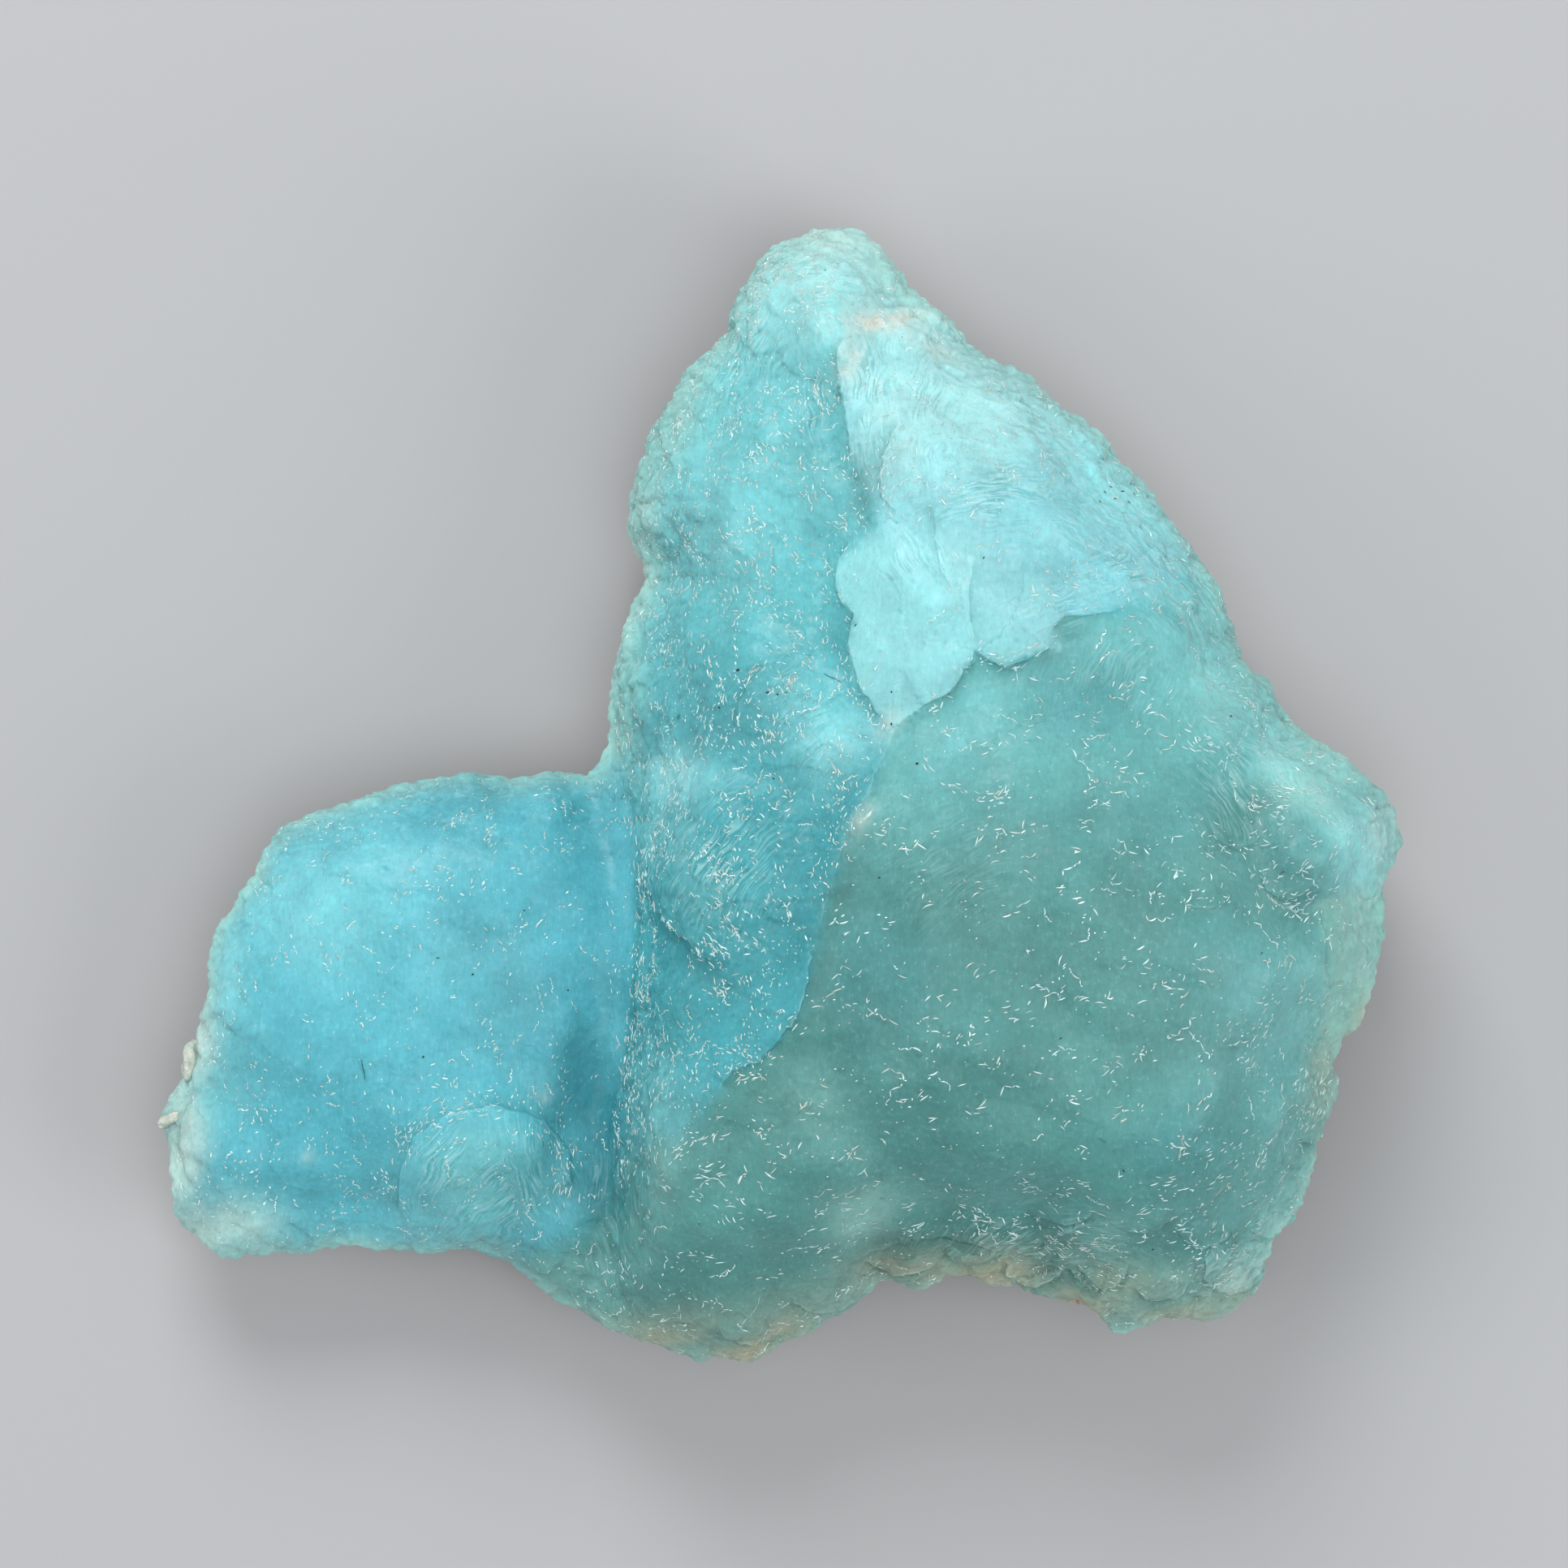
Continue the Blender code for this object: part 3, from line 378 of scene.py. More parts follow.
# How the crust's material takes light
SUBSURFACE_METHOD = "RANDOM_WALK"
SUBSURFACE_WEIGHT = 0.75
SUBSURFACE_RADIUS = (0.4, 0.9, 1.0)
SUBSURFACE_SCALE = 0.8 * MM
HEMIMORPHITE_IOR = 1.61
CRUST_SPECULAR = 0.2
GLINT_SPECULAR = 0.9
# Roughness of the crust and how much the underside adds, then of its crystal edges, dust and crumbs
CRUST_ROUGHNESS = (0.30, 0.46)
UNDER_ROUGHNESS = 0.3
GLINT_ROUGHNESS = (0.12, 0.3)
DUST_ROUGHNESS = (0.6, 0.9)
CRUMB_ROUGHNESS = (0.6, 0.85)
# The part of a noise's range that most of its values fill
NOISE_RANGE = (0.3, 0.7)
# Fine lines combed over the crust in patches: spacing, length, the size and reach of their waver, how
# clearly one patch ends before the next, the size and octaves of the noise that breaks them up and where
# in it they show, their contrast, and the strength of the painted highlight on their crests and the
# painted shade in their grooves
COMB_SPACING = 0.125
COMB_LENGTH = 1.3
COMB_WAVER = (1.5, 0.3)
COMB_PATCH_END = (0.0, 0.06)
COMB_BREAKS = (1.3, 2)
COMB_SHOWS = (-0.35, 0.2)
COMB_CONTRAST = (0.36, 0.64)
COMB_SHINE = 0.30
COMB_SHADE = 0.56
# Breaks in the light line along crisp edges: size and octaves of the noise, and where in it the line shows
EDGE_LIGHT_BREAKS = (1.0, 2)
EDGE_LIGHT_SHOWS = (-0.25, 0.35)
# Fine mottle: size, detail and roughness of its noise, and how much it darkens and lightens the colour
FINE_NOISE = (0.30, 2.0, 0.65)
FINE_TONES = (0.95, 1.05)
# Satin streaks: width and length, turn in degrees, the size and reach of their bends, and their tones
STREAK_SIZE = (0.13, 0.9)
STREAK_TURN = -8.0
STREAK_BENDS = (2.5, 1.0)
STREAK_TONES = (0.96, 1.04)
# Tiny flecks of painted highlight and pits of painted shade: where in the mottle and in the streaks they
# show, and how strong the painted highlight and shade are
FLECK_RANGE = (0.56, 0.64)
FLECK_STREAKS = (0.45, 0.6)
FLECK_SHINE = 0.07
PIT_RANGE = (0.44, 0.36)
PIT_STREAKS = (0.55, 0.4)
PIT_SHADE = 0.12
# Finest relief: heights of combed lines and crisp steps, spacing and depth of small scales, spacing and
# height of grain, and the strength of it all
COMB_HEIGHT = 0.03 * MM
STEP_HEIGHT = 0.08 * MM
FINE_SCALE = 0.34
FINE_SCALE_DEPTH = 0.015 * MM
FINE_GRAIN = 0.14
FINE_GRAIN_HEIGHT = 0.01 * MM
RELIEF_STRENGTH = 0.9

# Crystal edges whose white colour is a painted highlight of the light they catch: how many clusters, how
# many edges in each, and how many single dots
GLINT_CLUSTERS = 3000
GLINTS_EACH = (1, 6)
GLINT_DOTS = 5200
# An edge's width, the height of its ridge, how deep its feet sit and how high its tips lie, the places of
# its points along it, the middle of its bend, and how many points it has
GLINT_WIDTH = (0.045, 0.085)
GLINT_RISE = 0.018
GLINT_SINK = 0.002
GLINT_TIP = 0.004
GLINT_STEPS = (-0.5, -0.17, 0.17, 0.5)
BEND_MIDDLE = 0.08
GLINT_POINTS = 8
# A cluster is a zigzag or a loose scatter: the chance of a zigzag, its first turn and its turns, then how
# widely the scatter reaches along and across, and its turns. All turns are in radians
ZIGZAG_CHANCE = 0.25
ZIGZAG_START = 0.2
ZIGZAG_TURN = (0.6, 1.6)
SCATTER_ALONG = 0.34
SCATTER_ACROSS = 0.24
SCATTER_TURN = 0.25
SCATTER_TURNS = (-0.6, 0.0, 0.0, 0.5)
# How much edges bend, and the strength of their painted highlight in clusters, along crests and as
# single dots
CLUSTER_BEND = (-0.6, 0.6)
CLUSTER_SHINE = (0.5, 1.0)
CLUSTER_SPREAD = (0.7, 1.3)
CREST_BEND = 0.3
CREST_TURN = 0.3
CREST_LENGTH = (0.12, 0.5)
CREST_SHINE = (0.5, 1.0)
DOT_LENGTH = (0.4, 1.0)
DOT_SHINE = (0.2, 0.9)
# For each part of the crust: direction in degrees from +X, its spread, the shortest and longest edge
GLINT_LEFT = (68.0, 30.0, 0.12, 0.34)
GLINT_COLUMN = (112.0, 26.0, 0.14, 0.46)
GLINT_UPPER = (62.0, 36.0, 0.14, 0.60)
GLINT_FACE = (20.0, 24.0, 0.15, 0.62)
# How densely they stand: on each part, the size and octaves of a noise with its middle, strength and
# range, the upright shares of the normal between which they begin, and the share that stays on steep sides
GLINT_DENSITY = {"left": 0.95, "column": 2.0, "upper": 1.1, "bright": 0.2, "face": 0.8}
DENSITY_NOISE = (1.9, 2)
DENSITY_MIDDLE = 0.7
DENSITY_UNEVEN = 1.4
DENSITY_RANGE = (0.1, 2.0)
GLINTS_FACE_UP = (-0.25, 0.2)
STEEP_DENSITY = 0.25
# Spots where they stand more densely
GLINT_SPOTS = [
    (-6.0, -1.0, 1.2, 3.4, 0, 1.2), (-6.2, -9.0, 0.5, 5.0, 0, 0.8), (-6.8, -15.0, 0.8, 3.0, 0, 1.0),
    (0.0, 23.0, 2.6, 4.0, -20, 0.3), (-5.4, 17.0, 1.6, 4.4, -15, 0.5), (21.6, 0.4, 3.6, 4.0, 0, 1.0),
    (23.6, -14.6, 2.0, 4.0, 0, 0.4), (12.0, -20.8, 8.0, 2.0, 0, 0.9), (21.0, -19.0, 4.0, 4.0, 0, 0.5),
    (-24.0, -18.0, 5.0, 3.4, 0, 0.7), (-13.4, -18.6, 3.0, 3.0, 0, 0.5), (7.0, 15.4, 2.6, 1.6, 0, 0.3),
    (-6.4, 9.0, 1.4, 6.0, 0, 0.7), (9.6, 2.4, 3.0, 1.4, 20, 0.5), (23.4, -4.8, 1.6, 1.0, 0, 1.2),
]
# Crests on which many edges line up: how many, how widely they scatter, and the run of the crest
CREST_RUNS = [
    (150, 0.26, [(-6.9, -1.0), (-6.6, -4.0), (-6.5, -7.1), (-6.9, -10.7), (-7.4, -13.3), (-7.2, -16.0),
                 (-7.5, -18.6)]),
    (60, 0.5, [(-4.8, 2.0), (-5.2, -0.6), (-5.6, -3.0)]),
    (40, 0.4, [(-5.6, -12.6), (-6.2, -15.0), (-5.8, -18.0)]),
    (34, 0.22, [(-0.5, 6.5), (-1.4, 5.4), (-1.9, 4.2), (-1.9, 3.0)]),
    (20, 0.16, [(1.9, 20.5), (1.9, 19.4), (2.5, 18.2)]),
    (30, 0.20, [(5.4, 16.2), (4.9, 15.2), (4.9, 14.2), (5.4, 13.4)]),
    (26, 0.12, [(-6.9, -3.4), (-6.4, -4.7), (-5.4, -6.0), (-3.9, -7.4)]),
    (70, 0.40, [(-18.5, -18.6), (-17.8, -16.6), (-16.0, -15.4), (-13.4, -15.0)]),
    (40, 0.35, [(-10.6, -16.8), (-10.2, -18.4), (-10.4, -20.0)]),
    (60, 0.45, [(25.4, -16.2), (26.2, -14.8), (26.8, -13.4)]),
    (40, 0.40, [(-3.6, 6.8), (-2.8, 5.2), (-3.4, 3.6)]),
    (26, 0.20, [(7.2, 1.4), (8.2, 0.3), (9.4, -0.2), (10.6, -0.1)]),
    (16, 0.20, [(10.2, 6.3), (11.6, 6.6), (12.6, 7.2)]),
    (22, 0.30, [(22.6, -0.2), (23.4, -0.6), (24.4, -0.6)]),
    (22, 0.30, [(22.8, -4.4), (23.8, -5.2), (24.8, -5.2)]),
    (22, 0.35, [(19.6, 3.0), (20.6, 2.2), (21.4, 1.8)]),
    (40, 0.25, [(-3.6, 20.4), (-4.8, 18.2), (-5.8, 15.6), (-6.2, 13.0)]),
    (26, 0.30, [(18.4, -16.4), (20.4, -16.9), (22.6, -16.4)]),
    (26, 0.30, [(17.6, -18.4), (20.0, -18.8), (22.8, -18.0)]),
    (24, 0.30, [(12.4, -20.2), (13.8, -21.4), (15.6, -21.6)]),
    (24, 0.30, [(8.6, -19.4), (9.8, -20.6), (11.4, -20.8)]),
]

# Dust on the crust: x, y, length, width, turn in degrees
DUST = [
    (-1.9, 6.0, 0.26, 0.16, -10), (-12.3, -5.6, 0.12, 0.09, 0), (-14.8, -8.7, 0.16, 0.09, 30),
    (-10.2, -9.5, 0.12, 0.10, 0), (-17.2, -12.7, 0.16, 0.10, 60), (-16.5, -7.9, 0.20, 0.06, 20),
    (-0.2, 0.8, 0.12, 0.10, 0), (6.6, 1.5, 0.18, 0.14, 0), (5.4, 3.4, 0.14, 0.12, 0),
    (5.4, 4.9, 0.12, 0.10, 0), (9.8, 11.3, 0.16, 0.08, 70), (3.7, 8.1, 0.20, 0.07, 60),
    (-2.8, 4.2, 0.14, 0.12, 0), (16.4, -17.8, 0.24, 0.07, -50), (18.0, -21.8, 0.16, 0.12, 0),
    (23.0, -7.5, 0.20, 0.07, 40), (13.4, -11.5, 0.20, 0.07, 20), (4.8, -3.9, 0.14, 0.10, 0),
    (21.8, 3.8, 0.18, 0.16, 0), (15.9, 14.7, 0.30, 0.07, -60), (16.4, 14.4, 0.34, 0.07, 50),
    (16.8, 14.8, 0.26, 0.06, 20), (17.1, 14.3, 0.30, 0.06, -30), (15.6, 14.2, 0.22, 0.06, 10),
    (17.4, 14.7, 0.20, 0.06, 70), (16.2, 15.0, 0.18, 0.06, -10), (-0.5, 4.9, 0.20, 0.10, 10),
    (0.0, 4.8, 0.16, 0.09, -30), (0.4, 4.9, 0.12, 0.08, 0), (2.3, 25.4, 0.14, 0.06, 80),
]
DUST_THICKNESS = 0.03
DUST_UNEVEN = 0.5
# Hairs: x, y, length and turn, then their width, how far they sway and how many steps they have
HAIRS = [(-20.1, -13.3, 0.95, 84), (2.6, 5.6, 0.9, -50)]
HAIR_WIDTH = 0.045
HAIR_SWAY = 0.12
HAIR_WAVE = 3.0
HAIR_STEPS = 8
# Small lumps: how tight the waves of their unevenness are, its octaves, and the half length above which
# a lump is finer
BLOB_WAVES = 1.4
BLOB_OCTAVES = 4
BIG_BLOB = 0.2
# How far the chalky bits stand above the rim's level
CHALK_LIFT = 0.7
# Bits of chalky and beige stone on the rim: x, y, half length, half width, half thickness, turn, chalky
CRUMBS = [
    (-28.9, -13.2, 1.0, 0.42, 0.7, 82, True), (-29.8, -15.9, 0.8, 0.3, 0.5, 30, True),
    (14.7, -24.7, 0.7, 0.4, 0.4, -10, False), (-1.5, -27.3, 0.9, 0.4, 0.4, 15, False),
    (0.1, -26.4, 0.5, 0.3, 0.3, 30, False), (19.5, -25.4, 0.6, 0.3, 0.3, 5, False),
    (21.0, -25.5, 0.4, 0.3, 0.3, 0, False),
]
CRUMB_UNEVEN = 0.45

# Camera: it looks straight down on the stone and frames it as the picture does
FRAME_WIDTH = 77.3 * MM
FRAME_MIDDLE = (0.3 * MM, 0.54 * MM)
FRAME_LEVEL = 5.6 * MM
LENS = 150.0
SENSOR = 36.0

# Soft square lights, in metres: name, place, width and power. The world lights the rest
SOFTBOXES = [
    ("key", (-0.08, 0.34, 0.30), 0.22, 1.15), ("front", (0.06, -0.10, 0.60), 0.40, 1.12),
    ("right", (0.34, -0.16, 0.24), 0.24, 0.6), ("left", (-0.34, -0.04, 0.22), 0.20, 0.3),
]
WORLD_COLOUR = (0.95, 0.98, 1.0)
WORLD_STRENGTH = 0.26
FLOOR_HALF_WIDTH = 2.0
FLOOR_ROUGHNESS = 0.8


def link(item):
    """Link an object to the scene and return it."""
    bpy.context.scene.collection.objects.link(item)
    return item


def apply_modifiers(item):
    """Replace an object's mesh by its evaluated one and drop its modifiers."""
    depsgraph = bpy.context.evaluated_depsgraph_get()
    mesh = bpy.data.meshes.new_from_object(item.evaluated_get(depsgraph))
    item.modifiers.clear()
    item.data = mesh


def mesh_object(name, vertices, faces):
    """Return a new object made of vertices in millimetres and faces."""
    mesh = bpy.data.meshes.new(name)
    mesh.from_pydata([Vector(v) * MM for v in vertices], [], faces)
    mesh.update()
    return link(bpy.data.objects.new(name, mesh))


def smoothstep(low, high, value):
    """Return 0 below low, 1 above high, and a smooth change between."""
    share = numpy.clip((value - low) / (high - low), 0.0, 1.0)
    return share * share * (3.0 - 2.0 * share)


def nearest_on_run(x, y, points):
    """Return the gap to a run of points, the nearest place on it, and the third value there."""
    gap = numpy.full(x.shape, numpy.inf)
    near_x, near_y, third = numpy.zeros((3, *x.shape))
    for first, second in zip(points[:-1], points[1:]):
        dx, dy = second[0] - first[0], second[1] - first[1]
        along = numpy.clip(((x - first[0]) * dx + (y - first[1]) * dy) / (dx * dx + dy * dy), 0.0, 1.0)
        px, py = first[0] + along * dx, first[1] + along * dy
        distance = numpy.hypot(x - px, y - py)
        nearer = distance < gap
        gap = numpy.where(nearer, distance, gap)
        near_x = numpy.where(nearer, px, near_x)
        near_y = numpy.where(nearer, py, near_y)
        if len(first) > 2:
            third = numpy.where(nearer, first[2] + (second[2] - first[2]) * along, third)
    return gap, near_x, near_y, third


def inside(x, y, outline):
    """Return which places lie inside a closed outline."""
    within = numpy.zeros(x.shape, bool)
    for first, second in zip(outline, outline[1:] + outline[:1]):
        if first[1] == second[1]:
            continue
        slope = (second[0] - first[0]) / (second[1] - first[1])
        crossing = ((first[1] > y) != (second[1] > y)) & (x < first[0] + slope * (y - first[1]))
        within ^= crossing
    return within


def patch(x, y, outline, waver):
    """Return the share of a patch of the crust, soft along its edge."""
    gap, _, _, softness = nearest_on_run(x, y, outline + outline[:1])
    signed = numpy.where(inside(x, y, outline), gap, -gap)
    return smoothstep(-0.5, 0.5, signed / softness + 0.5 * waver)


def spots_share(x, y, spots):
    """Return the strength of a set of soft elliptical spots."""
    share = numpy.zeros(x.shape)
    for mx, my, half_x, half_y, turn, strength in spots:
        angle = math.radians(turn)
        along = (x - mx) * math.cos(angle) + (y - my) * math.sin(angle)
        across = (y - my) * math.cos(angle) - (x - mx) * math.sin(angle)
        radius = numpy.hypot(along / half_x, across / half_y)
        share = numpy.maximum(share, strength * numpy.exp(-radius ** 2))
    return share


def round_bumps(places, spacing):
    """Return the height of round bumps with creases between them, from about -0.5 to 0.5."""
    return numpy.array([0.5 - noise.voronoi(Vector(p) / spacing)[0][0] for p in places])


def tilted_scales(places, spacing):
    """Return the height of overlapping scales, one for each cell, whose lower edge stands proud."""
    down = Vector(SCALE_DOWN).normalized()
    heights = numpy.empty(len(places))
    for i, place in enumerate(places):
        here = Vector(place) / spacing
        heights[i] = (here - noise.voronoi(here)[1][0]).dot(down) * spacing
    return heights


def broken_noise(places, spacing, octaves):
    """Return fractal noise at each place."""
    return numpy.array([noise.fractal(Vector(p) / spacing, 1.0, 2.0, octaves) for p in places])


def read_vertices(mesh):
    """Return a mesh's places in millimetres and its vertex normals."""
    places = numpy.empty(len(mesh.vertices) * 3)
    mesh.vertices.foreach_get("co", places)
    normals = numpy.empty(len(mesh.vertices) * 3)
    mesh.vertex_normals.foreach_get("vector", normals)
    return places.reshape(-1, 3) / MM, normals.reshape(-1, 3)


def fine_copy():
    """Return a fine, smooth and evenly meshed copy of the stone's solid."""
    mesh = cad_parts[STONE_NODE].data.copy()
    work = bmesh.new()
    work.from_mesh(mesh)
    bmesh.ops.remove_doubles(work, verts=work.verts, dist=WELD)
    work.to_mesh(mesh)
    work.free()
    stone = link(bpy.data.objects.new("crust", mesh))
    subsurf = stone.modifiers.new("Subdivision", "SUBSURF")
    subsurf.levels = SUBDIVISIONS
    remesh = stone.modifiers.new("Remesh", "REMESH")
    remesh.mode = "VOXEL"
    remesh.voxel_size = CRUST_VOXEL
    relax = stone.modifiers.new("Smooth", "SMOOTH")
    relax.factor = SMOOTH_FACTOR
    relax.iterations = SMOOTH_ROUNDS
    apply_modifiers(stone)
    return stone


def pull_to_outline(places, normals):
    """Move the rim to the outline that the camera sees."""
    gap, near_x, near_y, _ = nearest_on_run(places[:, 0], places[:, 1], OUTLINE + OUTLINE[:1])
    weight = (1.0 - smoothstep(*OUTLINE_PULL, gap)) * (1.0 - smoothstep(*PULLED_SIDES, abs(normals[:, 2])))
    places[:, 0] += weight * (near_x - places[:, 0])
    places[:, 1] += weight * (near_y - places[:, 1])


def signed_gap(x, y, run):
    """Return the gap to a run of points, positive on its left, and the distance from the run's ends."""
    gap = numpy.full(x.shape, numpy.inf)
    signed, from_end = numpy.zeros((2, *x.shape))
    for first, second in zip(run[:-1], run[1:]):
        distance, near_x, near_y, _ = nearest_on_run(x, y, [first, second])
        side = (second[0] - first[0]) * (y - near_y) - (second[1] - first[1]) * (x - near_x)
        from_start = numpy.hypot(near_x - run[0][0], near_y - run[0][1])
        from_last = numpy.hypot(near_x - run[-1][0], near_y - run[-1][1])
        nearer = distance < gap
        gap = numpy.where(nearer, distance, gap)
        signed = numpy.where(nearer, distance * numpy.sign(side), signed)
        from_end = numpy.where(nearer, numpy.minimum(from_start, from_last), from_end)
    return signed, from_end


def edge_fields(places):
    """Return the signed gap to the nearest crisp edge, positive on its high side, and its strength."""
    x, y, _ = places.T
    signed = numpy.full(x.shape, EDGE_FIELD)
    strength = numpy.zeros(x.shape)
    for weight, run in EDGE_RUNS + [arc_run(*arc) for arc in EDGE_ARCS]:
        low, high = numpy.min(run, axis=0) - EDGE_FIELD, numpy.max(run, axis=0) + EDGE_FIELD
        near = numpy.nonzero((x > low[0]) & (x < high[0]) & (y > low[1]) & (y < high[1]))[0]
        gap, from_end = signed_gap(x[near], y[near], run)
        nearer = abs(gap) < abs(signed[near])
        signed[near] = numpy.where(nearer, gap, signed[near])
        strength[near] = numpy.where(nearer, weight * smoothstep(0.0, EDGE_TAPER, from_end), strength[near])
    size, reach = EDGE_WAVER
    return signed + reach * broken_noise(places, size, 2), strength


def arc_run(mx, my, half_x, half_y, first, last, weight):
    """Return the strength and the points of an arc that goes round its middle, which lies on its left."""
    angles = [math.radians(first + (last - first) * step / ARC_STEPS) for step in range(ARC_STEPS + 1)]
    return weight, [(mx + half_x * math.cos(angle), my + half_y * math.sin(angle)) for angle in angles]


def crust_relief(places, normals):
    """Return how far the crust rises at each place: lumps, scales, scallops, shells and the ridge's step."""
    x, y = places[:, 0], places[:, 1]
    left, face, bright, _ = zones(x, y, 0.0)
    rim_gap, _, _, _ = nearest_on_run(x, y, OUTLINE + OUTLINE[:1])
    rough = 1.0 - (1.0 - SMOOTH_PARTS) * numpy.maximum(numpy.maximum(left, face), bright)
    rough += RIM_ROUGHNESS * (1.0 - smoothstep(0.0, RIM_ROUGH_REACH, rim_gap))
    rise = sum(height * round_bumps(places, spacing) for spacing, height in RELIEF) * rough
    rise += sum(slope * tilted_scales(places, spacing) for spacing, slope in SCALES) * rough
    sideways = 1.0 - smoothstep(*RIM_SIDES, abs(normals[:, 2]))
    rise += sum(height * round_bumps(places, spacing) for spacing, height in RIM_SCALLOPS) * sideways
    size, reach = SHELL_WAVER
    run = rim_gap / SHELL_WIDTH + reach * broken_noise(places, size, 2)
    shells = spots_share(x, y, SHELL_SPOTS) * (1.0 - smoothstep(*SHELL_REACH, rim_gap))
    rise -= SHELL_STEP * (run - numpy.floor(run)) * shells
    spacing, height = CRUMPLE
    rise += height * round_bumps(places, spacing) * spots_share(x, y, CRUMPLE_SPOTS)
    gap, strength = edge_fields(places)
    high_side = numpy.exp(-numpy.maximum(gap, 0.0) / EDGE_STEP_REACH)
    low_side = numpy.exp(numpy.minimum(gap, 0.0) / EDGE_DROP_REACH)
    rise += EDGE_STEP * strength * numpy.where(gap > 0, high_side, -EDGE_DROP * low_side)
    return rise


def raise_relief(stone):
    """Cover the crust with its fine relief and break up the underside."""
    mesh = stone.data
    places, normals = read_vertices(mesh)
    pull_to_outline(places, normals)
    crust = smoothstep(*CRUST_BEGINS, normals[:, 2])
    rise = crust_relief(places, normals) * crust
    broken = sum(height * broken_noise(places, spacing, 3) for spacing, height in UNDER_RELIEF)
    rise += broken * (1.0 - crust)
    places += normals * rise[:, None]
    places[:, 2] = numpy.maximum(places[:, 2], LOWEST.z / MM)
    mesh.vertices.foreach_set("co", (places * MM).ravel())
    mesh.update()


def thin_out(stone):
    """Reduce the crust's triangles to its limit."""
    stone.data.calc_loop_triangles()
    share = CRUST_TRIANGLES / len(stone.data.loop_triangles)
    if share < 1.0:
        decimate = stone.modifiers.new("Decimate", "DECIMATE")
        decimate.ratio = share
        apply_modifiers(stone)


def write_share(mesh, name, values):
    """Store one number for each vertex, for the material to read."""
    attribute = mesh.attributes.new(name, "FLOAT", "POINT")
    attribute.data.foreach_set("value", values.astype(numpy.float32))


def write_colour(mesh, name, colours):
    """Store one colour for each vertex, for the material to read."""
    attribute = mesh.attributes.new(name, "FLOAT_COLOR", "POINT")
    solid = numpy.hstack([colours, numpy.ones((len(colours), 1))])
    attribute.data.foreach_set("color", solid.astype(numpy.float32).ravel())


def blend(colours, second, share):
    """Return colours mixed with a second one by a share for each place."""
    return colours + (numpy.asarray(second) - colours) * numpy.clip(share, 0.0, 1.0)[:, None]


def zones(x, y, waver):
    """Return the shares of the left lobe, the face, the bright lobes and the bright upper area."""
    outlines = (LEFT_OUTLINE, FACE_OUTLINE, BRIGHT_OUTLINE, UPPER_OUTLINE)
    return [patch(x, y, outline, waver) for outline in outlines]


def zone_tint(x, y, waver):
    """Return the crust's broad colours: lobe, column, face and the bright lobes above it, partly painted
    light and shade.
    """
    left, face, bright, upper = zones(x, y, waver)
    lobe = patch(x, y, LOBE_OUTLINE, waver)
    # Painted light in part: the column lightens upward
    tint = blend(numpy.tile(COLUMN_BLUE, (len(x), 1)), COLUMN_HIGH, smoothstep(*COLUMN_LIGHTENS, y))
    tint = blend(tint, BLUE, left)
    bright_share = numpy.maximum(spots_share(x, y, SUMMIT_SPOT), LOBE_SHARE * lobe)
    bright_upper = blend(numpy.tile(UPPER, (len(x), 1)), BRIGHT, bright_share)
    tint = blend(tint, bright_upper, upper)
    # Painted light in part: the face lightens upward and to the right
    face_light = FACE_UP[0] * smoothstep(*FACE_UP[1:], y) + FACE_RIGHT[0] * smoothstep(*FACE_RIGHT[1:], x)
    # The teal face is darker partly as painted shade of a face turned down from the light
    tint = blend(tint, blend(numpy.tile(TEAL, (len(x), 1)), FACE_LIGHT, face_light), face)
    tint = blend(tint, BRIGHT, BRIGHT_SHARE * bright)
    # Painted light in part: the knob at the top is lighter
    knob = smoothstep(*KNOB_LINE, y + KNOB_SLOPE * x)
    return blend(tint, KNOB, KNOB_SHARE * knob)


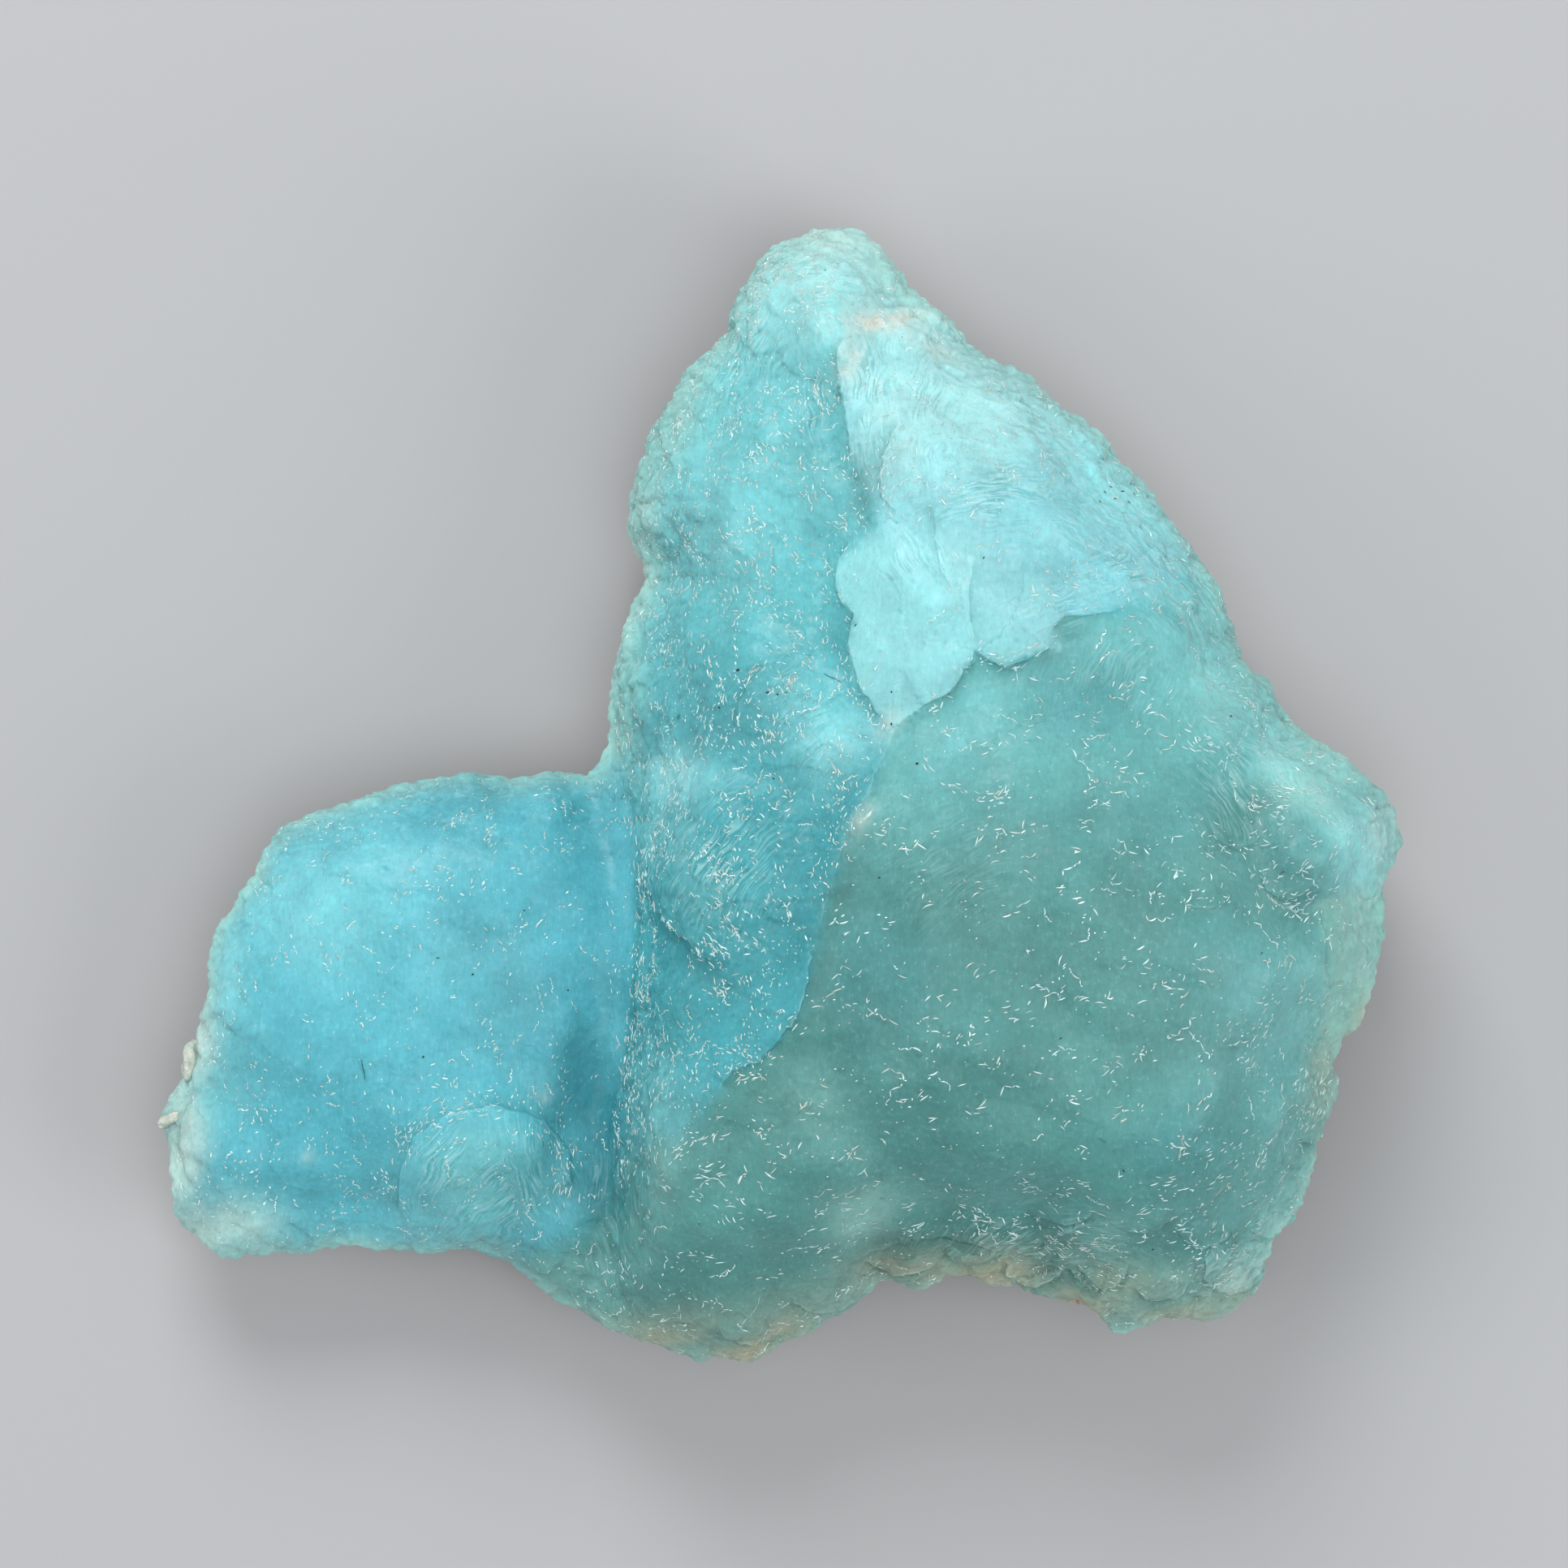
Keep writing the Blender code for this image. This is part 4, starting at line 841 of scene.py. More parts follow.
def crust_tint(places, normals):
    """Return the crust's colour at each place, before its fine grain."""
    x, y, _ = places.T
    waver = broken_noise(places, *WAVER)
    mottle = broken_noise(places, *MOTTLE)
    patchy = numpy.clip(1.0 + PATCHY * mottle, *PATCHY_RANGE)
    upward = smoothstep(*FACES_UP, normals[:, 2])
    rim_gap, _, _, _ = nearest_on_run(x, y, OUTLINE + OUTLINE[:1])
    groove_gap, _, _, _ = nearest_on_run(x, y, GROOVE)
    rim_patch = patch(x, y, RIM_PATCH_OUTLINE, waver)
    tint = zone_tint(x, y, waver)
    # Partly painted light on slopes turned from the lamps
    tint = blend(tint, CYAN_LIGHT, spots_share(x, y, LIGHT_SPOTS) * patchy * upward)
    tint = blend(tint, RIM_GREEN, band(rim_gap, *RIM_GREEN_BAND) * upward)
    # The pale band along the rim: partly its own colour, partly a painted glow of light through the thin rim
    tint = blend(tint, PALE, band(rim_gap, *RIM_PALE_BAND) * patchy)
    tint = blend(tint, PALE, spots_share(x, y, PALE_SPOTS) * patchy * upward)
    tint = blend(tint, PALE_GREEN, RIM_PATCH_SHARE * rim_patch * upward)
    tint = blend(tint, MILKY, spots_share(x, y, MILKY_SPOTS) * patchy)
    # Painted shade along the bottom of the groove
    tint = blend(tint, DEEP, band(groove_gap, DEEP_SHARE, GROOVE_WIDTH) * upward)
    tint = blend(tint, DEEP, DEEP_SHARE * spots_share(x, y, DARK_SPOTS) * patchy * upward)
    # Painted shade in dents and painted shadow under edges
    tint = blend(tint, GREY_SHADE, spots_share(x, y, GREY_SPOTS) * patchy * upward)
    # Painted shade in the creases between crumpled lumps
    crease = smoothstep(*CREASE_DEPTH, -round_bumps(places, CRUMPLE[0])) * spots_share(x, y, CRUMPLE_SPOTS)
    tint = blend(tint, GREY_SHADE, CREASE_SHADE * crease)
    tint *= (1.0 + MOTTLE_SHADE * mottle + FINE_MOTTLE_SHADE * broken_noise(places, *FINE_MOTTLE))[:, None]
    uneven = 1.0 + CREAM_UNEVEN * broken_noise(places, *CREAM_MOTTLE)
    tint = blend(tint, CREAM, spots_share(x, y, CREAM_SPOTS) * uneven)
    tint = blend(tint, FACE_LIGHT, spots_share(x, y, GREEN_SPOTS) * patchy)
    tint = blend(tint, MOSS, spots_share(x, y, MOSS_SPOTS) * patchy)
    tint = blend(tint, RIM_BEIGE, spots_share(x, y, BEIGE_SPOTS) * patchy)
    tint = blend(tint, under_tint(places), under_share(normals))
    return numpy.clip(tint, 0.0, 1.0)


def under_tint(places):
    """Return the colour of the broken underside: beige stone with rust and traces of the crust."""
    beige = numpy.tile(STONE_BEIGE, (len(places), 1))
    rusty = blend(beige, RUST, smoothstep(*RUST_RANGE, broken_noise(places, *RUST_MOTTLE)))
    blue = smoothstep(*UNDER_BLUE_RANGE, broken_noise(places + UNDER_BLUE_SHIFT, *UNDER_BLUE_MOTTLE))
    return blend(rusty, TEAL, blue)


def band(gap, strength, reach):
    """Return a share that fades away from a line."""
    return strength * numpy.exp(-(gap / reach) ** 2)


def under_share(normals):
    """Return 1 on the broken underside and 0 on the crust."""
    return 1.0 - smoothstep(*UNDER_COLOUR_ENDS, normals[:, 2])


def store_combing(stone):
    """Store where fine combed lines show, and the place across and along them."""
    places, normals = read_vertices(stone.data)
    x, y, _ = places.T
    best, second, across, along = numpy.zeros((4, *x.shape))
    for mx, my, half_x, half_y, turn, strength, direction, curve in COMB_SPOTS:
        share = spots_share(x, y, [(mx, my, half_x, half_y, turn, strength)])
        angle = math.radians(direction)
        ahead = (x - mx) * math.cos(angle) + (y - my) * math.sin(angle)
        aside = (y - my) * math.cos(angle) - (x - mx) * math.sin(angle) + curve * ahead ** 2
        stronger = share > best
        second = numpy.where(stronger, best, numpy.maximum(second, share))
        best = numpy.where(stronger, share, best)
        across = numpy.where(stronger, aside, across)
        along = numpy.where(stronger, ahead, along)
    combed = best * smoothstep(*COMB_PATCH_END, best - second)
    combed = combed * smoothstep(*COMB_SHOWS, broken_noise(places, *COMB_BREAKS))
    size, reach = COMB_WAVER
    write_share(stone.data, "combed", combed * smoothstep(*DETAIL_FACES_UP, normals[:, 2]))
    write_share(stone.data, "comb_across", across + reach * broken_noise(places, size, 2))
    write_share(stone.data, "comb_along", along)


def store_edges(stone):
    """Store the signed gap to the nearest crisp edge, and its strength."""
    places, normals = read_vertices(stone.data)
    gap, strength = edge_fields(places)
    write_share(stone.data, "edge_gap", gap)
    strength *= smoothstep(*DETAIL_FACES_UP, normals[:, 2])
    write_share(stone.data, "edge", strength)
    shows = smoothstep(*EDGE_LIGHT_SHOWS, broken_noise(places, *EDGE_LIGHT_BREAKS))
    write_share(stone.data, "edge_light", strength * shows)


class Graph:
    """A small helper that adds nodes to a material and joins them."""

    def __init__(self, name):
        self.material = bpy.data.materials.new(name)
        self.material.use_nodes = True
        self.tree = self.material.node_tree
        self.shader = self.tree.nodes["Principled BSDF"]

    def node(self, kind, settings=None, **inputs):
        """Add a node, set its options and fill its inputs with values or other nodes' outputs."""
        made = self.tree.nodes.new(kind)
        for key, value in (settings or {}).items():
            setattr(made, key, value)
        for key, value in inputs.items():
            self.fill(made.inputs[key.replace("_", " ")], value)
        return made

    def fill(self, socket, value):
        """Set a socket to a value, or join an output to it."""
        if isinstance(value, bpy.types.NodeSocket):
            self.tree.links.new(value, socket)
        else:
            socket.default_value = value

    def share(self, name):
        """Return the output of a stored number."""
        return self.node("ShaderNodeAttribute", {"attribute_name": name}).outputs["Fac"]

    def math(self, operation, first, second=0.0, clamp=False):
        """Return the output of a sum, product or other operation."""
        made = self.node("ShaderNodeMath", {"operation": operation, "use_clamp": clamp})
        self.fill(made.inputs[0], first)
        self.fill(made.inputs[1], second)
        return made.outputs[0]

    def times(self, first, second):
        """Return the product of two values."""
        return self.math("MULTIPLY", first, second)

    def ramp(self, value, low, high, to_low=0.0, to_high=1.0):
        """Return a value moved from one range to another, clamped."""
        made = self.node("ShaderNodeMapRange", {"clamp": True}, Value=value)
        made.inputs["From Min"].default_value = low
        made.inputs["From Max"].default_value = high
        made.inputs["To Min"].default_value = to_low
        made.inputs["To Max"].default_value = to_high
        return made.outputs[0]

    def mix(self, share, first, second, blend="MIX"):
        """Return two colours mixed by a share."""
        made = self.node("ShaderNodeMix", {"data_type": "RGBA", "blend_type": blend, "clamp_factor": True})
        self.fill(made.inputs[0], share)
        self.fill(made.inputs[6], self.colour(first))
        self.fill(made.inputs[7], self.colour(second))
        return made.outputs[2]

    def colour(self, value):
        """Return a colour with its alpha, or an output as it is."""
        return value if isinstance(value, bpy.types.NodeSocket) else (*value, 1.0)

    def noise(self, spacing, detail=2.0, roughness=0.5):
        """Return noise whose features are about the given size, in millimetres."""
        scale = 1.0 / (spacing * MM)
        made = self.node("ShaderNodeTexNoise", Scale=scale, Detail=detail, Roughness=roughness)
        self.fill(made.inputs["Vector"], self.place())
        return made

    def uneven(self, spacing, to_low, to_high, detail=2.0):
        """Return a value that wanders between two others, by noise of the given size in millimetres."""
        return self.ramp(self.noise(spacing, detail).outputs["Fac"], *NOISE_RANGE, to_low, to_high)

    def grain(self, spacing, height, strength, detail=2.0):
        """Give the material a grainy surface; spacing and height are in millimetres."""
        bump = self.node("ShaderNodeBump", Strength=strength, Distance=1.0)
        self.fill(bump.inputs["Height"], self.times(self.noise(spacing, detail).outputs["Fac"], height * MM))
        self.fill(self.shader.inputs["Normal"], bump.outputs[0])

    def tint(self):
        """Return the output of the stored colour."""
        return self.node("ShaderNodeAttribute", {"attribute_name": "tint"}).outputs["Color"]

    def place(self):
        """Return the place on the object."""
        return self.node("ShaderNodeTexCoord").outputs["Object"]

    def bent_place(self, spacing, reach):
        """Return the place, shifted by noise of the given size and reach, in millimetres."""
        shift = self.node("ShaderNodeVectorMath", {"operation": "SCALE"})
        self.fill(shift.inputs[0], self.noise(spacing).outputs["Color"])
        shift.inputs["Scale"].default_value = reach * MM
        bent = self.node("ShaderNodeVectorMath", {"operation": "ADD"})
        self.fill(bent.inputs[0], self.place())
        self.fill(bent.inputs[1], shift.outputs[0])
        return bent.outputs[0]


def combed_lines(graph):
    """Return fine combed lines that curve over parts of the crust, from 0 in their grooves to 1."""
    across = graph.times(graph.share("comb_across"), 1.0 / COMB_SPACING)
    along = graph.times(graph.share("comb_along"), 1.0 / COMB_LENGTH)
    place = graph.node("ShaderNodeCombineXYZ", X=across, Y=along).outputs[0]
    lines = graph.node("ShaderNodeTexNoise", {"noise_dimensions": "2D"}, Scale=1.0, Detail=1.0, Vector=place)
    return graph.ramp(lines.outputs["Fac"], *COMB_CONTRAST)


def edge_sides(graph):
    """Return the shade on the low side of crisp edges and the light line on their high side."""
    gap, strength = graph.share("edge_gap"), graph.share("edge")
    amount, reach = EDGE_SHADE
    shade = graph.times(graph.ramp(gap, -reach, 0.0), graph.ramp(gap, 0.0, EDGE_CRISP, amount, 0.0))
    amount, reach = EDGE_LIGHT
    light = graph.times(graph.ramp(gap, 0.0, EDGE_CRISP), graph.ramp(gap, EDGE_CRISP, reach, amount, 0.0))
    return graph.times(shade, strength), graph.times(light, graph.share("edge_light"))


def satin_streaks(graph):
    """Return the faint satin streaks of the crust, from 0 to 1."""
    across, along = STREAK_SIZE
    stretch = graph.node("ShaderNodeMapping", Vector=graph.bent_place(*STREAK_BENDS))
    stretch.inputs["Scale"].default_value = (1 / (across * MM), 1 / (along * MM), 1 / (across * MM))
    stretch.inputs["Rotation"].default_value = (0.0, 0.0, math.radians(STREAK_TURN))
    return graph.node("ShaderNodeTexNoise", Scale=1.0, Detail=2.0, Vector=stretch.outputs[0]).outputs["Fac"]


def crust_colour(graph):
    """Return the crust's colour: its tint, fine mottle and satin streaks, with painted highlight and shade
    on flecks, pits, lines and edges.
    """
    fine = graph.noise(*FINE_NOISE).outputs["Fac"]
    streaks = satin_streaks(graph)
    fine_tone = graph.ramp(fine, *NOISE_RANGE, *FINE_TONES)
    value = graph.times(fine_tone, graph.ramp(streaks, *NOISE_RANGE, *STREAK_TONES))
    grey = graph.node("ShaderNodeCombineColor", Red=value, Green=value, Blue=value).outputs[0]
    colour = graph.mix(1.0, graph.tint(), grey, "MULTIPLY")
    shaded = graph.mix(1.0, colour, SHADE_LEAVES, "MULTIPLY")
    # Flecks of painted highlight and pits of painted shade
    fleck_streaks = graph.ramp(streaks, *FLECK_STREAKS, 0.0, FLECK_SHINE)
    flecks = graph.times(graph.ramp(fine, *FLECK_RANGE), fleck_streaks)
    pits = graph.times(graph.ramp(fine, *PIT_RANGE), graph.ramp(streaks, *PIT_STREAKS, 0.0, PIT_SHADE))
    colour = graph.mix(pits, graph.mix(flecks, colour, GLINT_WHITE), shaded)
    # Combed lines: painted shade in their grooves and painted highlight on their crests
    lines = graph.ramp(combed_lines(graph), 0.0, 1.0, -1.0, 1.0)
    combed = graph.share("combed")
    for strength, tone in ((-COMB_SHADE, shaded), (COMB_SHINE, GLINT_WHITE)):
        line = graph.math("MAXIMUM", graph.times(lines, strength), 0.0)
        colour = graph.mix(graph.times(line, combed), colour, tone)
    shade, light = edge_sides(graph)
    return graph.mix(light, graph.mix(shade, colour, shaded), GLINT_WHITE)


def crust_bump(graph):
    """Return the crust's finest relief: combed lines, crisp steps, small scales and grain."""
    combed = graph.times(graph.times(combed_lines(graph), graph.share("combed")), COMB_HEIGHT)
    step = graph.times(graph.ramp(graph.share("edge_gap"), -EDGE_CRISP, EDGE_CRISP), graph.share("edge"))
    scales = graph.node("ShaderNodeTexVoronoi", Scale=1.0 / (FINE_SCALE * MM), Vector=graph.place())
    scaly = graph.times(scales.outputs["Distance"], -FINE_SCALE_DEPTH)
    grain = graph.times(graph.noise(FINE_GRAIN, 1.0).outputs["Fac"], FINE_GRAIN_HEIGHT)
    marks = graph.math("ADD", combed, graph.times(step, STEP_HEIGHT))
    height = graph.math("ADD", marks, graph.math("ADD", scaly, grain))
    return graph.node("ShaderNodeBump", Strength=RELIEF_STRENGTH, Distance=1.0, Height=height).outputs[0]


def crust_material():
    """Return the translucent crust's material, with its broken underside."""
    graph = Graph("crust_look")
    shader = graph.shader
    graph.fill(shader.inputs["Base Color"], crust_colour(graph))
    rough = graph.uneven(0.8, *CRUST_ROUGHNESS, 1.0)
    under = graph.times(graph.share("under"), UNDER_ROUGHNESS)
    graph.fill(shader.inputs["Roughness"], graph.math("ADD", rough, under, True))
    graph.fill(shader.inputs["Normal"], crust_bump(graph))
    shader.subsurface_method = SUBSURFACE_METHOD
    shader.inputs["Subsurface Weight"].default_value = SUBSURFACE_WEIGHT
    shader.inputs["Subsurface Radius"].default_value = SUBSURFACE_RADIUS
    shader.inputs["Subsurface Scale"].default_value = SUBSURFACE_SCALE
    shader.inputs["IOR"].default_value = HEMIMORPHITE_IOR
    shader.inputs["Specular IOR Level"].default_value = CRUST_SPECULAR
    return graph.material


def glint_material():
    """Return the small crystal edges' material: the crust's colour turning to a painted white highlight."""
    graph = Graph("glint_look")
    shader = graph.shader
    graph.fill(shader.inputs["Base Color"], graph.mix(graph.share("shine"), graph.tint(), GLINT_WHITE))
    graph.fill(shader.inputs["Roughness"], graph.uneven(0.3, *GLINT_ROUGHNESS))
    graph.grain(0.1, 0.01, 0.3)
    shader.inputs["IOR"].default_value = HEMIMORPHITE_IOR
    shader.inputs["Specular IOR Level"].default_value = GLINT_SPECULAR
    return graph.material


def glint_style(shares, chance):
    """Return a direction in radians and the shortest and longest edge where the shares hold."""
    left, face, bright, upper = shares
    if left > 0.5:
        middle, spread, short, long = GLINT_LEFT
    elif face > 0.5:
        middle, spread, short, long = GLINT_FACE
    elif max(bright, upper) > 0.5:
        middle, spread, short, long = GLINT_UPPER
    else:
        middle, spread, short, long = GLINT_COLUMN
    return math.radians(middle + spread * chance.normal()), short, long


def choose_places(stone, chance, count):
    """Choose places for glints: place, normal, direction, shortest and longest edge."""
    places, normals = read_vertices(stone.data)
    x, y, _ = places.T
    shares = zones(x, y, 0.0)
    left, face, bright, upper = shares
    density = numpy.full(x.shape, GLINT_DENSITY["column"])
    for share, name in zip((left, face, upper, bright), ("left", "face", "upper", "bright")):
        density += share * (GLINT_DENSITY[name] - density)
    density += spots_share(x, y, GLINT_SPOTS)
    uneven = broken_noise(places, *DENSITY_NOISE)
    density *= numpy.clip(DENSITY_MIDDLE + DENSITY_UNEVEN * uneven, *DENSITY_RANGE)
    flat = STEEP_DENSITY + (1.0 - STEEP_DENSITY) * numpy.maximum(normals[:, 2], 0.0)
    density *= smoothstep(*GLINTS_FACE_UP, normals[:, 2]) * flat
    chosen = chance.choice(len(places), count, False, density / density.sum())
    found = []
    for i in chosen:
        angle, short, long = glint_style([share[i] for share in shares], chance)
        found.append((Vector(places[i]), Vector(normals[i]), angle, short, long))
    return found


def axes_on(normal, angle):
    """Return axes along and across a direction on the crust, with its normal."""
    along = Vector((math.cos(angle), math.sin(angle), 0.0))
    along = (along - normal * along.dot(normal)).normalized()
    return along, normal.cross(along), normal


def cluster_strokes(place, axes, short, long, chance):
    """Return the middle, direction and length of each edge in a cluster: a zigzag, or a loose scatter."""
    along, across, _ = axes
    joined = chance.uniform() < ZIGZAG_CHANCE
    here, turn, side = place.copy(), ZIGZAG_START * chance.normal(), chance.choice((-1.0, 1.0))
    strokes = []
    for number in range(chance.randint(*GLINTS_EACH)):
        length = short + (long - short) * chance.uniform() ** 2
        if joined:
            turn, side = turn + side * chance.uniform(*ZIGZAG_TURN), -side
        else:
            here = place + across * chance.normal() * SCATTER_ACROSS
            here = here + along * chance.normal() * SCATTER_ALONG
            turn = chance.normal() * SCATTER_TURN + chance.choice(SCATTER_TURNS)
        direction = along * math.cos(turn) + across * math.sin(turn)
        strokes.append((here + direction * length / 2, direction, length))
        here = here + direction * length
    return strokes


class Glints:
    """Narrow crystal edges laid on the crust and gathered for one joined mesh."""

    def __init__(self, tree):
        self.tree = tree
        self.vertices = []
        self.faces = []
        self.shine = []

    def add(self, middle, along, length, width, bend, shine):
        """Add one curved edge with a ridge section, in millimetres, and the strength of its painted
        highlight.
        """
        hit, normal, _, _ = self.tree.find_nearest(middle * MM)
        along = (along - normal * along.dot(normal)).normalized()
        across = normal.cross(along)
        first = len(self.vertices)
        for share in GLINT_STEPS:
            aside = bend * (share * share - BEND_MIDDLE) * length
            here = hit / MM + along * share * length + across * aside
            foot, up, _, _ = self.tree.find_nearest(here * MM)
            foot = foot / MM
            if abs(share) == max(GLINT_STEPS):
                self.vertices.append(foot + up * GLINT_TIP)
            else:
                self.vertices.append(foot - across * width / 2 - up * GLINT_SINK)
                self.vertices.append(foot + up * GLINT_RISE)
                self.vertices.append(foot + across * width / 2 - up * GLINT_SINK)
        start, low_a, top_a, high_a, low_b, top_b, high_b, end = range(first, first + GLINT_POINTS)
        self.faces += [(start, top_a, low_a), (start, high_a, top_a), (low_a, top_a, top_b, low_b)]
        self.faces += [(top_a, high_a, high_b, top_b), (low_b, top_b, end), (top_b, high_b, end)]
        self.shine += [shine] * GLINT_POINTS


def add_clusters(glints, clusters, chance):
    """Add the edges that stand in clusters."""
    for place, normal, angle, short, long in clusters:
        bend = chance.uniform(*CLUSTER_BEND)
        bright = chance.uniform(*CLUSTER_SHINE)
        for middle, direction, length in cluster_strokes(place, axes_on(normal, angle), short, long, chance):
            width = chance.uniform(*GLINT_WIDTH)
            shine = min(1.0, bright * chance.uniform(*CLUSTER_SPREAD))
            glints.add(middle, direction, length, width, bend, shine)


def add_crests(glints, chance):
    """Add the edges that line up along the crests."""
    for count, scatter, run in CREST_RUNS:
        for number in range(count):
            step = chance.randint(len(run) - 1)
            first, second = Vector((*run[step], 0.0)), Vector((*run[step + 1], 0.0))
            spot = first.lerp(second, chance.uniform())
            x = spot.x + scatter * chance.normal()
            y = spot.y + scatter * chance.normal()
            place, normal = lay_on(glints.tree, x, y)
            ahead = second - first
            turn = math.atan2(ahead.y, ahead.x) + CREST_TURN * chance.normal()
            along, _, _ = axes_on(normal, turn)
            length = chance.uniform(*CREST_LENGTH)
            width = chance.uniform(*GLINT_WIDTH)
            glints.add(place, along, length, width, CREST_BEND, chance.uniform(*CREST_SHINE))


def add_dots(glints, places, chance):
    """Add the single short edges."""
    for place, normal, angle, short, _ in places:
        along, _, _ = axes_on(normal, angle)
        length = chance.uniform(*DOT_LENGTH) * short
        width = chance.uniform(*GLINT_WIDTH)
        glints.add(place, along, length, width, 0.0, chance.uniform(*DOT_SHINE))


def build_glints(stone, tree, clusters, chance):
    """Build the small crystal edges, painted white as highlights where they catch the light."""
    glints = Glints(tree)
    add_clusters(glints, clusters, chance)
    add_crests(glints, chance)
    add_dots(glints, choose_places(stone, chance, GLINT_DOTS), chance)
    edges = mesh_object("crystal_glints", glints.vertices, glints.faces)
    places, normals = read_vertices(edges.data)
    write_share(edges.data, "shine", numpy.array(glints.shine))
    write_colour(edges.data, "tint", crust_tint(places, normals))
    edges.data.materials.append(glint_material())
    return edges


def lay_on(tree, x, y):
    """Return the place and normal of the crust under a place in the picture."""
    above = Vector((x * MM, y * MM, 2 * STONE_HEIGHT * MM))
    hit, normal, _, _ = tree.ray_cast(above, Vector((0, 0, -1)))
    if hit is None:
        hit, normal, _, _ = tree.find_nearest(Vector((x * MM, y * MM, FRAME_LEVEL)))
    return hit / MM, normal


def add_blob(vertices, faces, middle, axes, halves, uneven, chance):
    """Add a small irregular lump with the given axes and half sizes."""
    work = bmesh.new()
    bmesh.ops.create_icosphere(work, subdivisions=3 if halves[0] > BIG_BLOB else 1, radius=1.0)
    shift = Vector(chance.uniform(-50, 50, 3))
    first = len(vertices)
    for vertex in work.verts:
        waves = noise.fractal(vertex.co * BLOB_WAVES + shift, 1.0, 2.0, BLOB_OCTAVES)
        local = vertex.co * (1.0 + uneven * waves)
        steps = [axis * half * part for axis, half, part in zip(axes, halves, local)]
        vertices.append(middle + sum(steps, Vector()))
    faces += [tuple(first + vertex.index for vertex in face.verts) for face in work.faces]
    work.free()


def add_hair(vertices, faces, tree, place, axes, length):
    """Add a fine curved hair that lies on the crust and thins out towards its ends."""
    along, across, _ = axes
    first = len(vertices)
    for step in range(HAIR_STEPS + 1):
        share = step / HAIR_STEPS - 0.5
        here = place + along * share * length + across * HAIR_SWAY * math.sin(HAIR_WAVE * share) * length
        foot, up, _, _ = tree.find_nearest(here * MM)
        half = HAIR_WIDTH / 2 * (1.0 - abs(share))
        top = foot / MM + up * HAIR_WIDTH
        vertices += [foot / MM - across * half, top, foot / MM + across * half]
    for step in range(HAIR_STEPS):
        a = first + 3 * step
        faces += [(a, a + 3, a + 4, a + 1), (a + 1, a + 4, a + 5, a + 2)]


def dust_material():
    """Return the material of the dark specks and hairs."""
    graph = Graph("dust_look")
    tone = graph.ramp(graph.noise(0.4).outputs["Fac"], 0.4, 0.6)
    graph.fill(graph.shader.inputs["Base Color"], graph.mix(tone, DUST_BLUE, DUST_OLIVE))
    graph.fill(graph.shader.inputs["Roughness"], graph.uneven(0.2, *DUST_ROUGHNESS))
    graph.grain(0.05, 0.01, 0.5)
    return graph.material


def build_dust(tree, chance):
    """Build the dark specks and fine hairs that lie on the crust."""
    vertices, faces = [], []
    for x, y, length, width, turn in DUST:
        place, normal = lay_on(tree, x, y)
        axes = axes_on(normal, math.radians(turn))
        halves = (length / 2, width / 2, DUST_THICKNESS)
        add_blob(vertices, faces, place, axes, halves, DUST_UNEVEN, chance)
    for x, y, length, turn in HAIRS:
        place, normal = lay_on(tree, x, y)
        add_hair(vertices, faces, tree, place, axes_on(normal, math.radians(turn)), length)
    dust = mesh_object("dust_specks", vertices, faces)
    dust.data.materials.append(dust_material())
    return dust


def crumb_material():
    """Return the material of the chalky and beige bits on the rim."""
    graph = Graph("crumb_look")
    shader = graph.shader
    mottle = graph.ramp(graph.noise(0.35, 3.0).outputs["Fac"], 0.35, 0.65)
    chalk = graph.mix(mottle, CHALK_SHADE, CHALK)
    beige = graph.mix(mottle, RUST, CREAM)
    graph.fill(shader.inputs["Base Color"], graph.mix(graph.share("chalky"), beige, chalk))
    graph.fill(shader.inputs["Roughness"], graph.ramp(mottle, 0.0, 1.0, *CRUMB_ROUGHNESS))
    graph.grain(0.2, 0.15, 0.8, 4.0)
    shader.inputs["Subsurface Weight"].default_value = 0.3
    shader.inputs["Subsurface Scale"].default_value = 0.4 * MM
    return graph.material


def build_crumbs(tree, chance):
    """Build the chalky and beige bits of stone on the rim."""
    vertices, faces, chalky = [], [], []
    for x, y, half_length, half_width, half_thickness, turn, chalk in CRUMBS:
        place, _, _, _ = tree.find_nearest(Vector((x * MM, y * MM, FRAME_LEVEL)))
        middle = Vector((x, y, place.z / MM + (CHALK_LIFT if chalk else 0.0)))
        axes = axes_on(Vector((0.0, 0.0, 1.0)), math.radians(turn))
        count = len(vertices)
        halves = (half_length, half_width, half_thickness)
        add_blob(vertices, faces, middle, axes, halves, CRUMB_UNEVEN, chance)
        chalky += [float(chalk)] * (len(vertices) - count)
    crumbs = mesh_object("rim_crumbs", vertices, faces)
    write_share(crumbs.data, "chalky", numpy.array(chalky))
    crumbs.data.shade_smooth()
    crumbs.data.materials.append(crumb_material())
    return crumbs


def build_stone():
    """Build the visible stone in place of its plain solid, with all that sits on it."""
    chance = numpy.random.RandomState(SEED)
    stone = fine_copy()
    raise_relief(stone)
    thin_out(stone)
    tree = BVHTree.FromObject(stone, bpy.context.evaluated_depsgraph_get())
    clusters = choose_places(stone, chance, GLINT_CLUSTERS)
    places, normals = read_vertices(stone.data)
    write_colour(stone.data, "tint", crust_tint(places, normals))
    write_share(stone.data, "under", under_share(normals))
    store_combing(stone)
    store_edges(stone)
    stone.data.shade_smooth()
    stone.data.materials.clear()
    stone.data.materials.append(crust_material())
    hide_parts(STONE_NODE)
    for piece in (stone, build_glints(stone, tree, clusters, chance), build_crumbs(tree, chance)):
        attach(piece, "root")
    dust = build_dust(tree, chance)
    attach(dust, "root")


